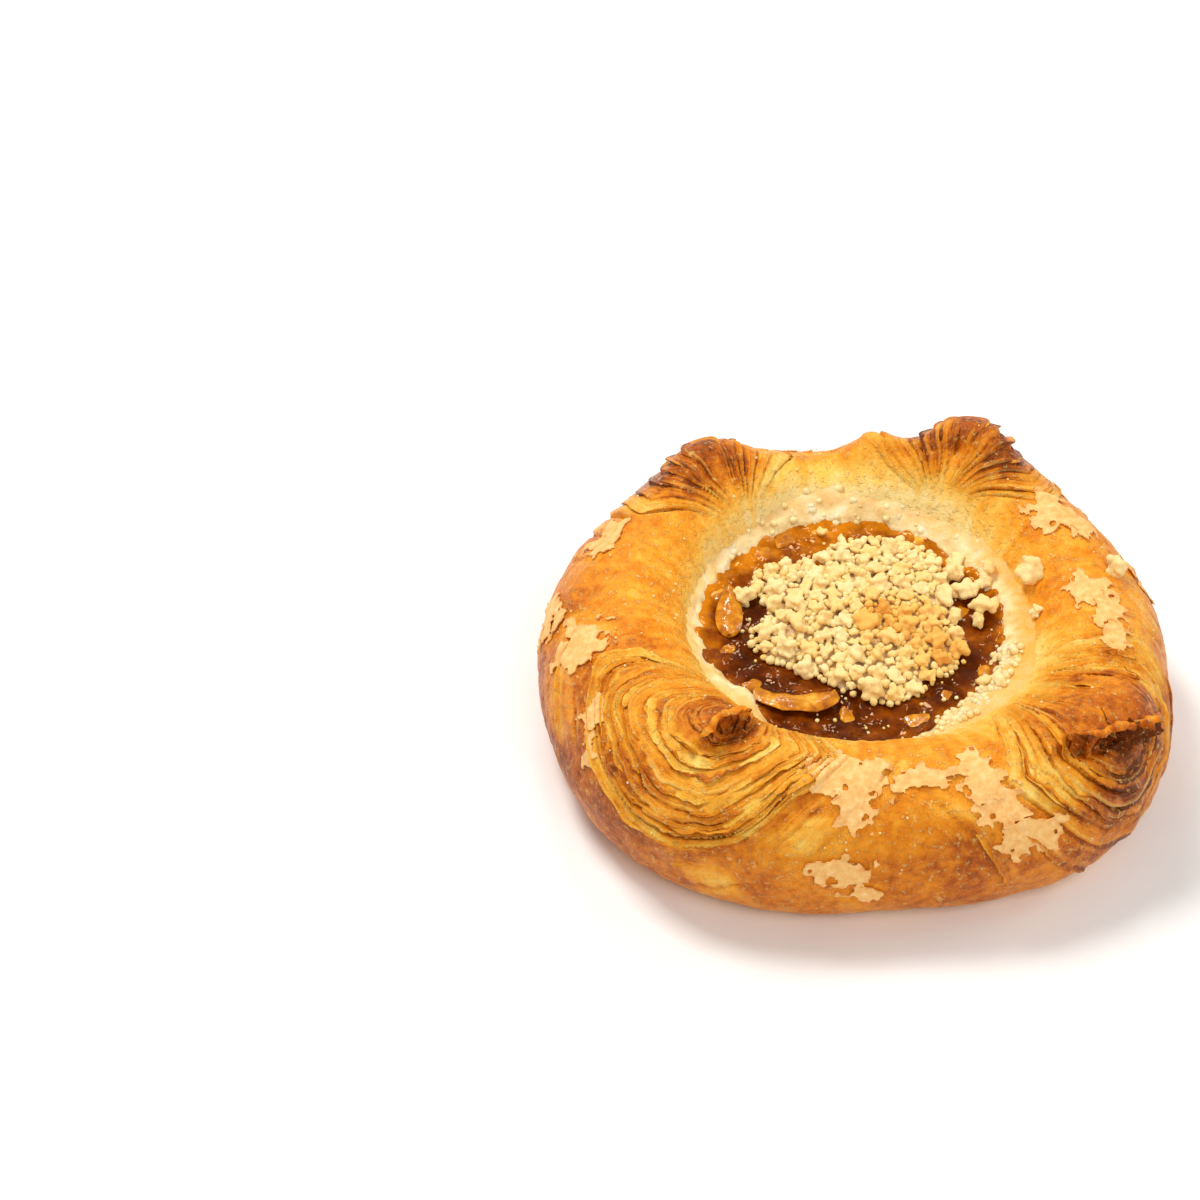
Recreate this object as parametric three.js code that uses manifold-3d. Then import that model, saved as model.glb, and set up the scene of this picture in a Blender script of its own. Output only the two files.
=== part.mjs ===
// A square danish pastry: a puffed, laminated case with four folded corners, its bowl lined with
// curd cheese, filled with apple jam and topped with a heap of butter crumble.
// Millimetres, +Z up. The origin is on the resting face, under the middle of the bowl, and -Y is the front.
import * as THREE from "three";
import { mergeVertices } from "three/addons/utils/BufferGeometryUtils.js";
import Module from "manifold-3d";

// The case is measured at its four folded corners and along the four smooth sides between them.
// at: direction in degrees; outer: widest radius; crest: radius of the rim's top; top: its height;
// mouth: radius of the bowl at its foot.
const stations = [
  { at: 5, outer: 55.5, crest: 41, top: 30, mouth: 28 }, // right side
  { at: 32, outer: 53.2, crest: 41, top: 31.5, mouth: 28.7 }, // its back half
  { at: 57, outer: 54.5, crest: 41.5, top: 35, mouth: 29.2 }, // back right corner
  { at: 81, outer: 50, crest: 39, top: 30.5, mouth: 29.4 }, // a low hump beside it
  { at: 96, outer: 48.5, crest: 38, top: 28.5, mouth: 29.5 }, // back side
  { at: 129, outer: 54, crest: 41, top: 33, mouth: 29 }, // back left corner
  { at: 180, outer: 57.5, crest: 41, top: 30, mouth: 27.5 }, // left side
  { at: 227, outer: 58.5, crest: 41.5, top: 31.5, mouth: 26.8 }, // front left corner
  { at: 275, outer: 53.2, crest: 38.5, top: 29.5, mouth: 26.5 }, // front side
  { at: 322, outer: 58.7, crest: 42.5, top: 29.5, mouth: 27 }, // front right corner
];

// Each corner shows the cut edges of the dough as layers nested round a nub.
// out: how far the nub stands outside the crest; high, wide and long: the nub's height and half sizes,
// across and along its direction; reach: size of the layered patch; gather: how far inside the nub
// the layers would meet.
const corners = [
  { at: 58, out: 3.5, high: 4, wide: 4.5, long: 4.5, reach: 20, gather: 22 },
  { at: 129, out: 3, high: 3.5, wide: 4.5, long: 4.5, reach: 18, gather: 22 },
  { at: 232, out: 0, high: 2.6, wide: 4, long: 6, reach: 22, gather: 26 },
  { at: 328, out: 4.5, high: 3, wide: 5, long: 9, reach: 23, gather: 26 },
];

const bellyHeight = 13; // height of the widest girth
const footInset = 8; // how far the resting face stays inside the girth
const bowlFloor = 12; // thickness of dough under the filling
const layerPitch = 6; // width of one bundle of layers in the corners
const layerDepth = 1.5; // how deep the grooves between the bundles are
const skinStep = 0.9; // the smooth skin stands this far over the layered patches
const narrowest = 0.3; // the layers draw together down the bowl's wall to this share at the most
const legsFade = { from: 8, to: 16 }; // the layers die away this far down the bowl's wall

const clearance = 0.35; // gap kept between touching nodes
const curdTop = 23; // height of the curd against the bowl's wall
const jamLevel = 20.5; // height of the jam at its edge
const curdRing = 4.2; // width of the curd that shows round the jam
const jamInset = 1.4; // how far the jam's edge stays inside the foot of the bowl's wall
const jamDepth = 3.2;
const jamWave = 0.55; // height of the waves on the jam, above and below its level
const heapMiddle = { x: 0.6, y: 3.4 };
const heapReach = 19.6; // radius of the crumble's core
const heapLift = 0.8; // height of the core's edge over the jam's level
const heapHeight = 2.4; // of the core over its edge
const crumbCount = 64;
const smallestCrumb = 1.8;
const largestCrumb = 2.8;
const mendStep = 0.1; // slivers thinner than this are smoothed away where crumbs join
const sliceThickness = 1.3; // of the flat middle of an apple slice

const degrees = Math.PI / 180;
const turn = 2 * Math.PI;

const wasm = await Module();
wasm.setup();

// A seeded draw, so that every build gives the same crumbs.
let seed = 20;
function draw() {
  seed = (seed * 1664525 + 1013904223) % 4294967296;
  return seed / 4294967296;
}
const drawFrom = (low, high) => low + (high - low) * draw();

const smoothstep = (low, high, x) => {
  const f = Math.min(1, Math.max(0, (x - low) / (high - low)));
  return f * f * (3 - 2 * f);
};

// One measure of the case in direction theta, eased from station to station.
function measure(theta, key) {
  const at = (((theta / degrees) % 360) + 360) % 360;
  const next = stations.findIndex((s) => s.at > at);
  const b = stations[next < 0 ? 0 : next];
  const a = stations[(stations.indexOf(b) + stations.length - 1) % stations.length];
  const span = (b.at - a.at + 360) % 360;
  return a[key] + (b[key] - a[key]) * smoothstep(0, span, (at - a.at + 360) % 360);
}

const fromAxis = (theta, radius, height) =>
  new THREE.Vector3(radius * Math.cos(theta), radius * Math.sin(theta), height);

// The case without relief. t runs once over its section: 0 to 1 along the resting face, to 2 up the foot,
// to 3 over the shoulder to the crest, to 4 down the bowl's wall and to 5 across the bowl's floor.
function section(theta, t) {
  const outer = measure(theta, "outer");
  const crest = measure(theta, "crest");
  const top = measure(theta, "top");
  const mouth = measure(theta, "mouth");
  const foot = outer - footInset;
  if (t <= 1) return { radius: foot * t, height: 0, along: 99 };
  if (t <= 2) {
    const sweep = (t - 2) * 90 * degrees;
    const shoulder = Math.hypot(outer - crest, top - bellyHeight) / Math.SQRT2;
    return {
      radius: foot + footInset * Math.cos(sweep),
      height: bellyHeight * (1 + Math.sin(sweep)),
      along: 90 * degrees * shoulder - sweep * (footInset + bellyHeight) * 0.5,
    };
  }
  if (t <= 3) {
    const sweep = (t - 2) * 90 * degrees;
    const shoulder = Math.hypot(outer - crest, top - bellyHeight) / Math.SQRT2;
    return {
      radius: crest + (outer - crest) * Math.cos(sweep),
      height: bellyHeight + (top - bellyHeight) * Math.sin(sweep),
      along: (90 * degrees - sweep) * shoulder,
    };
  }
  if (t <= 4) {
    const sweep = (t - 3) * 90 * degrees;
    const wall = Math.hypot(crest - mouth, top - bowlFloor) / Math.SQRT2;
    return {
      radius: crest - (crest - mouth) * Math.sin(sweep),
      height: bowlFloor + (top - bowlFloor) * Math.cos(sweep),
      along: -sweep * wall,
    };
  }
  return { radius: mouth * (5 - t), height: bowlFloor, along: -99 };
}

// Where a point of the case lies among the layers of the nearest corner: how far out from the nub,
// counted across hairpins that are open towards the bowl.
function layerPlace(theta, t) {
  const { radius, along } = section(theta, t);
  let nearest;
  for (const corner of corners) {
    const aside = ((theta / degrees - corner.at + 540) % 360) - 180;
    if (!nearest || Math.abs(aside) < Math.abs(nearest.aside)) nearest = { corner, aside };
  }
  const across = nearest.aside * degrees * radius;
  const outward = along - nearest.corner.out;
  const drawnIn = Math.max(narrowest, 1 + outward / nearest.corner.gather);
  const place = outward > 0 ? Math.hypot(across, outward) : Math.abs(across) / drawnIn;
  return { place, across, outward, corner: nearest.corner };
}

// Height of the relief over the plain section: bundles of layers that step down from the nub,
// and the skin's lip round them.
function relief(theta, t) {
  const { place, across, outward, corner } = layerPlace(theta, t);
  const nearRestingFace = t < 1.2;
  const behindFilling = t > 3.5;
  if (nearRestingFace || behindFilling) return 0;
  const bundle = (place / layerPitch) % 1;
  const tooth = Math.min(1, bundle / 0.55) * (1 - smoothstep(0.6, 1, bundle));
  const onPatch = 1 - smoothstep(corner.reach - 1.5, corner.reach + 1, place);
  const inBowl = 1 - smoothstep(legsFade.from, legsFade.to, -outward);
  const nub = corner.high * Math.exp(-((across / corner.wide) ** 2) - (outward / corner.long) ** 2);
  return onPatch * inBowl * (layerDepth * tooth - skinStep) + nub;
}

// A point of the finished case's surface.
function casePoint(theta, t) {
  const at = (a, b) => {
    const { radius, height } = section(a, b);
    return fromAxis(a, radius, height);
  };
  const point = at(theta, t);
  const lift = relief(theta, t);
  if (!lift) return point;
  const step = 0.01;
  const round = at(theta + step, t).sub(at(theta - step, t));
  const over = at(theta, Math.min(t + step, 4)).sub(at(theta, t - step));
  return point.addScaledVector(round.cross(over).normalize(), lift);
}

// Directions of the columns of points, close together over the corners.
function columnDirections(cornerSteps, sideSteps, halfWidth = 26) {
  const found = [];
  corners.forEach(({ at }, i) => {
    const next = corners[(i + 1) % corners.length].at;
    const side = ((next - at + 360) % 360) - 2 * halfWidth;
    for (let k = 0; k < cornerSteps; k++) found.push(at - halfWidth + (2 * halfWidth * k) / cornerSteps);
    for (let k = 0; k < sideSteps; k++) found.push(at + halfWidth + (side * k) / sideSteps);
  });
  return found.map((angle) => angle * degrees);
}

// A closed surface from rows of points round the axis. The first and last rows are single points.
function closedRound(columns, rowCount, pointAt) {
  const places = [];
  const faces = [];
  const push = (point) => {
    places.push(point.x, point.y, point.z);
    return places.length / 3 - 1;
  };
  const first = push(pointAt(0, 0));
  const rings = [];
  for (let row = 1; row < rowCount - 1; row++) rings.push(columns.map((theta) => push(pointAt(row, theta))));
  const last = push(pointAt(rowCount - 1, 0));
  const n = columns.length;
  for (let j = 0; j < n; j++) {
    const k = (j + 1) % n;
    faces.push(first, rings[0][k], rings[0][j]);
    for (let i = 0; i + 1 < rings.length; i++) {
      const [low, high] = [rings[i], rings[i + 1]];
      faces.push(low[j], low[k], high[k], low[j], high[k], high[j]);
    }
    const top = rings[rings.length - 1];
    faces.push(top[j], top[k], last);
  }
  const geometry = new THREE.BufferGeometry();
  geometry.setAttribute("position", new THREE.Float32BufferAttribute(places, 3));
  geometry.setIndex(faces);
  return geometry;
}

// A three.js geometry as a solid for cutting and joining, and back.
function solidOf(geometry) {
  const bare = geometry.clone();
  bare.deleteAttribute("normal");
  bare.deleteAttribute("uv");
  const merged = mergeVertices(bare, 1e-4);
  return new wasm.Manifold(
    new wasm.Mesh({
      numProp: 3,
      vertProperties: new Float32Array(merged.attributes.position.array),
      triVerts: new Uint32Array(merged.index.array),
    }),
  );
}

function geometryOf(solid) {
  const { numProp, vertProperties, triVerts } = solid.getMesh();
  const places = [];
  for (let i = 0; i < vertProperties.length; i += numProp) places.push(...vertProperties.subarray(i, i + 3));
  const geometry = new THREE.BufferGeometry();
  geometry.setAttribute("position", new THREE.Float32BufferAttribute(places, 3));
  geometry.setIndex([...triVerts]);
  return geometry;
}

// One knobbly crumb of butter crumble: an icosahedron squeezed and turned at random.
function crumb(size, x, y, z) {
  const lump = new THREE.IcosahedronGeometry(size, 0);
  lump.scale(drawFrom(0.8, 1.25), drawFrom(0.8, 1.2), drawFrom(0.7, 1));
  lump.rotateX(drawFrom(0, turn));
  lump.rotateZ(drawFrom(0, turn));
  lump.translate(x, y, z);
  return solidOf(lump);
}

const columns = columnDirections(24, 5);
const evenColumns = Array.from({ length: 60 }, (_, k) => (k * turn) / 60);

// Rows of points down the bowl's wall. The case and the curd that lines it share the lower ones.
const wallAboveCurd = [3.12, 3.24, 3.34, 3.45];
const wallBehindCurd = [3.56, 3.67, 3.78, 3.89, 4];

// The dough case.
function doughCase() {
  const rows = [0, 1, 1.3, 1.6, 1.82];
  for (let k = 0; k <= 16; k++) rows.push(2 + k / 16);
  rows.push(...wallAboveCurd, ...wallBehindCurd, 5);
  const body = solidOf(closedRound(columns, rows.length, (row, theta) => casePoint(theta, rows[row])));
  const onRim = [
    { direction: 20, t: 3.35, size: 2.7 },
    { direction: 17, t: 2.6, size: 2.3 },
  ];
  return onRim.reduce((joined, { direction, t, size }) => {
    const p = casePoint(direction * degrees, t);
    return joined.add(crumb(size, p.x, p.y, p.z + 0.3 * size));
  }, body);
}

// Outline of the jam, a little uneven.
const jamEdge = (theta) =>
  measure(theta, "mouth") - jamInset + 0.4 * Math.sin(3 * theta + 1) + 0.3 * Math.sin(7 * theta);

// Top of the jam: gentle waves that run level at the edge.
function jamTop(theta, share) {
  const radius = share * jamEdge(theta);
  const [x, y] = [radius * Math.cos(theta), radius * Math.sin(theta)];
  const wave = Math.sin(0.42 * x + 0.3 * y) + 0.8 * Math.sin(0.55 * y - 0.2 * x + 1.3);
  return jamLevel + 0.5 * jamWave * wave * (1 - share ** 4);
}

// The curd: a dish that lines the bowl, with a lumpy ring round the jam.
function curdLining() {
  const wallRow = (theta, t) => {
    const { radius, height } = section(theta, t);
    return fromAxis(theta, radius - clearance - 0.1, Math.max(height, bowlFloor + clearance));
  };
  const lumps = (theta) => 0.25 * Math.sin(11 * theta) + 0.2 * Math.sin(17 * theta + 2);
  const ringTop = 0.5 * (curdTop + jamLevel) + 0.6;
  const jamBed = jamLevel - jamDepth;
  const rows = [
    () => fromAxis(0, 0, bowlFloor + clearance),
    ...wallBehindCurd.toReversed().map((t) => (theta) => wallRow(theta, t)),
    (theta) => fromAxis(theta, jamEdge(theta) + 0.55 * curdRing, ringTop + lumps(theta)),
    (theta) => fromAxis(theta, jamEdge(theta) + clearance, jamLevel + 0.2),
    (theta) => fromAxis(theta, jamEdge(theta) - 1.6, jamBed),
    () => fromAxis(0, 0, jamBed),
  ];
  const lining = solidOf(closedRound(evenColumns, rows.length, (row, theta) => rows[row](theta)));
  const onCurd = [
    { direction: 30, size: 1.4 },
    { direction: 19, size: 1.5 },
  ];
  return onCurd.reduce((joined, { direction, size }) => {
    const theta = direction * degrees;
    const p = fromAxis(theta, jamEdge(theta) + 0.25 * curdRing, ringTop + 0.3 * size);
    return joined.add(crumb(size, p.x, p.y, p.z));
  }, lining);
}

// The jam, with two crumbs that rolled off the heap.
function jamFilling() {
  const jamRows = [0.97, 0.85, 0.72, 0.58, 0.44, 0.3, 0.15];
  const rows = [
    () => fromAxis(0, 0, jamLevel - jamDepth + clearance),
    (theta) => fromAxis(theta, jamEdge(theta) - 2.1, jamLevel - jamDepth + clearance),
    (theta) => fromAxis(theta, jamEdge(theta) - 0.25, jamLevel),
    ...jamRows.map((share) => (theta) => fromAxis(theta, share * jamEdge(theta), jamTop(theta, share))),
    () => fromAxis(0, 0, jamTop(0, 0)),
  ];
  const pool = solidOf(closedRound(evenColumns, rows.length, (row, theta) => rows[row](theta)));
  const onJam = [
    { x: 23.6, y: 8.2, size: 1.7 },
    { x: 23.9, y: 4.8, size: 1.8 },
  ];
  return onJam.reduce(
    (joined, { x, y, size }) => joined.add(crumb(size, x, y, jamLevel + 0.8 * size)),
    pool,
  );
}

// Outline of the crumble heap round its own middle, with a bay of bare jam at its right
// and bays for the slices of apple at its left and front left.
function heapEdge(theta) {
  const bay = (at, width, depth) => {
    const aside = ((((theta / degrees - at + 540) % 360) + 360) % 360) - 180;
    return depth * Math.exp(-((aside / width) ** 2));
  };
  const uneven = 0.7 * Math.sin(5 * theta + 2) + 0.5 * Math.sin(8 * theta);
  return heapReach + uneven - bay(2, 20, 5) - bay(177, 14, 3) - bay(234, 20, 5.5);
}

// The crumble: a low core with the crumbs that show fused on, cut level just clear of the jam.
function crumbleHeap() {
  const coreTop = (share) => jamLevel + heapLift + heapHeight * (1 - share ** 2.4);
  const shares = [1, 0.85, 0.6, 0.3];
  const rows = [
    () => fromAxis(0, 0, jamLevel - 1),
    (theta) => fromAxis(theta, heapEdge(theta), jamLevel - 1),
    ...shares.map((share) => (theta) => fromAxis(theta, share * heapEdge(theta), coreTop(share))),
    () => fromAxis(0, 0, coreTop(0)),
  ];
  const core = closedRound(evenColumns, rows.length, (row, theta) => rows[row](theta));
  core.translate(heapMiddle.x, heapMiddle.y, 0);
  const parts = [solidOf(core)];
  const goldenAngle = 137.50776 * degrees;
  for (let k = 0; k < crumbCount; k++) {
    const theta = (k * goldenAngle + drawFrom(-0.1, 0.1)) % turn;
    const share = Math.sqrt((k + 0.7) / crumbCount);
    const size = drawFrom(smallestCrumb, largestCrumb);
    const p = fromAxis(theta, share * heapEdge(theta), coreTop(share) + 0.15 * size);
    parts.push(crumb(size, heapMiddle.x + p.x, heapMiddle.y + p.y, p.z));
  }
  const deep = 20;
  const below = new THREE.CylinderGeometry(2 * heapReach, 2 * heapReach, deep, 24);
  below.rotateX(90 * degrees);
  below.translate(0, 0, jamLevel + jamWave + clearance - deep / 2);
  // The largest body is the heap: bits cut loose and hollows shut in between crumbs are left out.
  const bodies = wasm.Manifold.union(parts).subtract(solidOf(below)).simplify(mendStep).decompose();
  return bodies.reduce((largest, body) => (body.volume() > largest.volume() ? body : largest));
}

// A slice of cooked apple that lies on the jam, bent into an arc.
function appleSlice(length, width, bend) {
  const side = [];
  const steps = 8;
  for (let k = 0; k <= steps; k++) {
    const share = k / steps - 0.5;
    const half = 0.5 * width * Math.sqrt(Math.max(0.02, 1 - 4 * share * share));
    side.push({ x: length * share, mid: bend * (1 - 4 * share * share), half });
  }
  const outline = new THREE.Shape([
    ...side.map((s) => new THREE.Vector2(s.x, s.mid - s.half)),
    ...side.reverse().map((s) => new THREE.Vector2(s.x, s.mid + s.half)),
  ]);
  const bevel = { bevelThickness: 0.3, bevelSize: 0.3, bevelOffset: -0.3, bevelSegments: 1 };
  return new THREE.ExtrudeGeometry(outline, { depth: sliceThickness, ...bevel });
}

function material(colour, roughness) {
  return new THREE.MeshStandardMaterial({ color: colour, roughness, metalness: 0 });
}

const pastry = new THREE.Group();
function place(name, geometry, look) {
  const mesh = new THREE.Mesh(geometry, look);
  mesh.name = name;
  pastry.add(mesh);
  return mesh;
}

place("dough_case", geometryOf(doughCase()), material(0xd98a35, 0.5));
place("curd_lining", geometryOf(curdLining()), material(0xf4dfa8, 0.7));
place("jam", geometryOf(jamFilling()), material(0x8a4312, 0.12));
place("crumble", geometryOf(crumbleHeap()), material(0xf2cd80, 0.85));

// Slices of apple near the jam's left edge and in the bay at the front left.
const sliceLook = material(0xc8781c, 0.2);
const slices = [
  { name: "apple_slice_left", x: -22.8, y: 4.5, lean: 82, length: 7, width: 2.6, bend: 0.4 },
  { name: "apple_slice_front", x: -12.6, y: -16.6, lean: -42, length: 11, width: 2.8, bend: -1 },
];
for (const { name, x, y, lean, length, width, bend } of slices) {
  const slice = place(name, appleSlice(length, width, bend), sliceLook);
  const jamUnder = [-0.5, -0.25, 0, 0.25, 0.5].map((share) => {
    const along = share * length;
    const [px, py] = [x + along * Math.cos(lean * degrees), y + along * Math.sin(lean * degrees)];
    const theta = Math.atan2(py, px);
    return jamTop(theta, Math.hypot(px, py) / jamEdge(theta));
  });
  slice.position.set(x, y, Math.max(...jamUnder) + 2 * clearance);
  slice.rotation.set(0, 0, lean * degrees);
}

export default pastry;
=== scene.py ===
import math
import random

import bpy
import numpy as np
from mathutils import Matrix, Vector


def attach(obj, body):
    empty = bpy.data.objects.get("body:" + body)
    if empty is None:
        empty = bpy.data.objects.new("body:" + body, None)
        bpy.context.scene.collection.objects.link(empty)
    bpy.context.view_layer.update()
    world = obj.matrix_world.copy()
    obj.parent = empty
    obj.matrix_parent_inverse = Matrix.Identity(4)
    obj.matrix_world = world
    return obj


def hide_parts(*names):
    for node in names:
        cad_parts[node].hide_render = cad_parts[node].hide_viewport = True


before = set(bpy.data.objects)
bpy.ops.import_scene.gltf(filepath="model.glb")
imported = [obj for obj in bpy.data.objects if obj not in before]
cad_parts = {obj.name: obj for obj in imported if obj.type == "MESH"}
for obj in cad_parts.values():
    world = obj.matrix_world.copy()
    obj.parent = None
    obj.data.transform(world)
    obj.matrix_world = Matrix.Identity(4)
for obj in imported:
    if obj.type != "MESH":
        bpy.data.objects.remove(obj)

# Lengths are in millimetres, as the pastry is measured. Meshes get them in metres.
mm = 0.001
turn = 2 * math.pi
quarter = turn / 4
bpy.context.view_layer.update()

# The case is measured at its folded corners and along the smooth sides between them.
stations = [
    {"at": 5, "outer": 55.5, "crest": 41, "top": 30, "mouth": 28},
    {"at": 32, "outer": 53.2, "crest": 41, "top": 31.5, "mouth": 28.7},
    {"at": 57, "outer": 54.5, "crest": 41.5, "top": 35, "mouth": 29.2},
    {"at": 81, "outer": 50, "crest": 39, "top": 30.5, "mouth": 29.4},
    {"at": 96, "outer": 48.5, "crest": 38, "top": 28.5, "mouth": 29.5},
    {"at": 129, "outer": 54, "crest": 41, "top": 33, "mouth": 29},
    {"at": 180, "outer": 57.5, "crest": 41, "top": 30, "mouth": 27.5},
    {"at": 227, "outer": 58.5, "crest": 41.5, "top": 31.5, "mouth": 26.8},
    {"at": 275, "outer": 53.2, "crest": 38.5, "top": 29.5, "mouth": 26.5},
    {"at": 322, "outer": 58.7, "crest": 42.5, "top": 29.5, "mouth": 27},
]
# Noise is given as layers of strength, scale and seed. rows are stretches of t with their numbers of points.
case = {
    "bellyHeight": 13,
    "footInset": 8,
    "bowlFloor": 12,
    "columns": 680,
    "rows": [(0, 1, 4), (1, 1.85, 15), (1.85, 3, 84), (3, 3.56, 33), (3.56, 4, 6)],
    "cornerWidth": 27,      # degrees each side of a corner that get the fine columns
    "cornerDensity": 2.3,
    "groove": 1.6,          # deepest groove between two layers
    "lumps": [(0.55, 14, 1), (0.275, 6, 2), (0.1, 2.6, 3)],
    "settled": 0.35,        # the skin lies this far inside the plain form
    "streaks": [(1, 1.9, 58), (0.5, 0.9, 59)],
}
# Each corner's layers nest round a nub that lies out from the crest. They go as far as reach, draw
# together towards the bowl, fade out there and stand proud of the skin by proud.
# The nub is high, wide and long, and leans by degrees from straight outwards. Its curled edge lies lipAt
# from its middle, on the side that lip gives, over a hollow as wide as lipDeep, and is curled over as a
# flap. bare is how far the layers keep off the nub. brown, fan and low are how much more it is baked at
# its peak, towards the bowl and below the nub. aside is how much wider than round its layers run to the
# left and right of the nub. strips, loose and burnt are the number of thin ends on each edge, how far
# they stand off and how dark they are. They are laid on the skin too, as far as beyond.
# The lip's darkening is browning on the lip itself and painted shade in the hollow under it.
backCorner = {
    "out": 3, "gather": 21, "layers": (1.4, 3.6), "wide": 8, "long": 5, "lean": 0, "bare": 0.25, "lip": 0,
    "lipBrownAndShadeStrength": 0, "brown": 0.4, "low": 0, "strips": 3, "loose": 0.35, "burnt": 0.04, "aside": (1, 1),
    "beyond": -0.4,
}
corners = [
    {**backCorner, "at": 60, "reach": 20, "fadeFrom": 10, "fadeTo": 19, "proud": 0.2, "high": 3.2,
     "spread": 16, "fan": 0.16},
    {**backCorner, "at": 129, "reach": 19, "fadeFrom": 9, "fadeTo": 17, "proud": 0.1, "high": 2.6,
     "wide": 8.5, "spread": 15, "fan": 0.18},
    {"at": 232, "out": 0, "reach": 24, "gather": 21, "fadeFrom": 5, "fadeTo": 13, "proud": 0.8,
     "layers": (1.2, 3.6), "high": 2.5, "wide": 4, "long": 6.2, "lean": -17, "bare": 0.9, "lip": 1,
     "lipAt": 1.2, "lipDeep": 0.2, "lipBrownAndShadeStrength": 0.2, "flapSize": 0.95, "flapBake": 0.74, "brown": 0.27,
     "spread": 7, "fan": 0.06, "low": 0, "strips": 5, "loose": 1, "burnt": 0.04, "aside": (1.32, 0.88),
     "beyond": 15},
    {"at": 325, "out": 8, "reach": 23, "gather": 30, "fadeFrom": 12, "fadeTo": 21, "proud": 0.3,
     "layers": (1.1, 3.4), "high": 4.2, "wide": 7, "long": 10.5, "lean": 64, "bare": 1, "lip": -1,
     "lipAt": 2.4, "lipDeep": 0.75, "lipBrownAndShadeStrength": 0.5, "flapSize": 1.0, "flapBake": 0.87, "brown": 0.22,
     "spread": 11, "fan": 0.12, "low": 0.27, "strips": 5, "loose": 1, "burnt": 0.1, "aside": (1, 1),
     "beyond": 12},
]
# Low swellings of the rim between the corners.
humps = [{"at": 83, "out": 1.5, "high": 2.8, "wide": 5, "long": 4.5}]


def tint(red, green, blue):
    # a colour as seen, 0 to 255, as the shader wants it
    seen = [value / 255 for value in (red, green, blue)]
    return tuple(v / 12.92 if v < 0.04045 else ((v + 0.055) / 1.055) ** 2.4 for v in seen) + (1,)


def smoothstep(low, high, x):
    share = np.clip((x - low) / (high - low), 0, 1)
    return share * share * (3 - 2 * share)


def awayFrom(theta, at):
    # degrees from the direction at, the short way round
    return (np.degrees(theta) - at + 180) % 360 - 180


def near(theta, at, width, power=2):
    # 1 at the direction at, fading to 0 on both sides of it; width is in degrees too
    return np.exp(-(awayFrom(theta, at) / width) ** power)


def roundEnds(share, least):
    # 1 in the middle of a length, falling to a small end at both sides
    return np.sqrt(np.clip(1 - (2 * share - 1) ** 4, least, 1))


gridMixers = (73856093, 19349663, 83492791)
scramblers = ((13, 1274126177), (15, 668265263))
wholeKey = 0x7FFFFFFF


def noiseAt(points, scale, seed=0):
    # smooth noise from about -1 to 1, from random slopes at the corners of a grid of the given scale
    spot = points / scale + 31.7 * seed + 400
    cell = np.floor(spot).astype(np.int64)
    share = spot - cell
    fade = share ** 3 * (share * (6 * share - 15) + 10)
    total = np.zeros(len(points))
    for step in np.ndindex(2, 2, 2):
        x, y, z = ((cell + step) * gridMixers).T
        key = (x ^ y ^ z) & wholeKey
        for shift, scrambler in scramblers:
            key = (key ^ (key >> shift)) * scrambler & wholeKey
        # ten bits of the key for each slope, from -1 to 1
        slopes = np.stack([key & 1023, key >> 10 & 1023, key >> 20 & 1023], -1) / 511.5 - 1
        weight = np.where(np.array(step) == 1, fade, 1 - fade).prod(1)
        total += weight * ((share - step) * slopes).sum(1)
    return 1.9 * total


def rough(points, layers):
    return sum(strength * noiseAt(points, scale, seed) for strength, scale, seed in layers)


def spokes(theta, along):
    # spots for noise that runs out of the bowl like spokes
    ring = 34
    return np.stack([ring * np.cos(theta), ring * np.sin(theta), along], -1)


def deselectAll():
    if bpy.context.object and bpy.context.object.mode != "OBJECT":
        bpy.ops.object.mode_set(mode="OBJECT")
    bpy.ops.object.select_all(action="DESELECT")


def pick(piece):
    deselectAll()
    piece.select_set(True)
    bpy.context.view_layer.objects.active = piece


def readPoints(piece):
    flat = np.zeros(len(piece.data.vertices) * 3)
    piece.data.vertices.foreach_get("co", flat)
    return flat.reshape(-1, 3)


def movePoints(piece, points):
    piece.data.vertices.foreach_set("co", np.asarray(points, float).ravel())
    piece.data.update()


def paintPoints(piece, name, values):
    layer = piece.data.attributes.new(name, "FLOAT", "POINT")
    layer.data.foreach_set("value", np.asarray(values, np.float32))


def applyModifier(piece, kind, **settings):
    pick(piece)
    made = piece.modifiers.new(kind.lower(), kind)
    for key, value in settings.items():
        setattr(made, key, value)
    bpy.ops.object.modifier_apply(modifier=made.name)


def editAll(piece, operator, **settings):
    # one edit-mode operator on the whole mesh
    pick(piece)
    bpy.ops.object.mode_set(mode="EDIT")
    bpy.ops.mesh.select_all(action="SELECT")
    operator(**settings)
    bpy.ops.object.mode_set(mode="OBJECT")


def closeSeams(piece):
    editAll(piece, bpy.ops.mesh.remove_doubles, threshold=0.01 * mm)


def shadeSmooth(piece, angle=None):
    pick(piece)
    if angle is None:
        bpy.ops.object.shade_smooth()
    else:
        bpy.ops.object.shade_smooth_by_angle(angle=math.radians(angle))


def joinAll(pieces):
    deselectAll()
    for piece in pieces:
        piece.select_set(True)
    bpy.context.view_layer.objects.active = pieces[0]
    bpy.ops.object.join()
    bpy.ops.object.transform_apply(location=True, rotation=True, scale=True)
    return bpy.context.object


def copyModel(model, name):
    copy = bpy.data.objects.new(name, model.data.copy())
    bpy.context.collection.objects.link(copy)
    return copy


def gridSheet(columns, rows):
    # a flat grid, with its points' shares across and up, from 0 to 1
    deselectAll()
    bpy.ops.mesh.primitive_grid_add(x_subdivisions=columns, y_subdivisions=rows, size=1)
    sheet = bpy.context.object
    flat = readPoints(sheet)
    return sheet, np.clip(flat[:, 0] + 0.5, 0, 1), np.clip(flat[:, 1] + 0.5, 0, 1)


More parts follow.
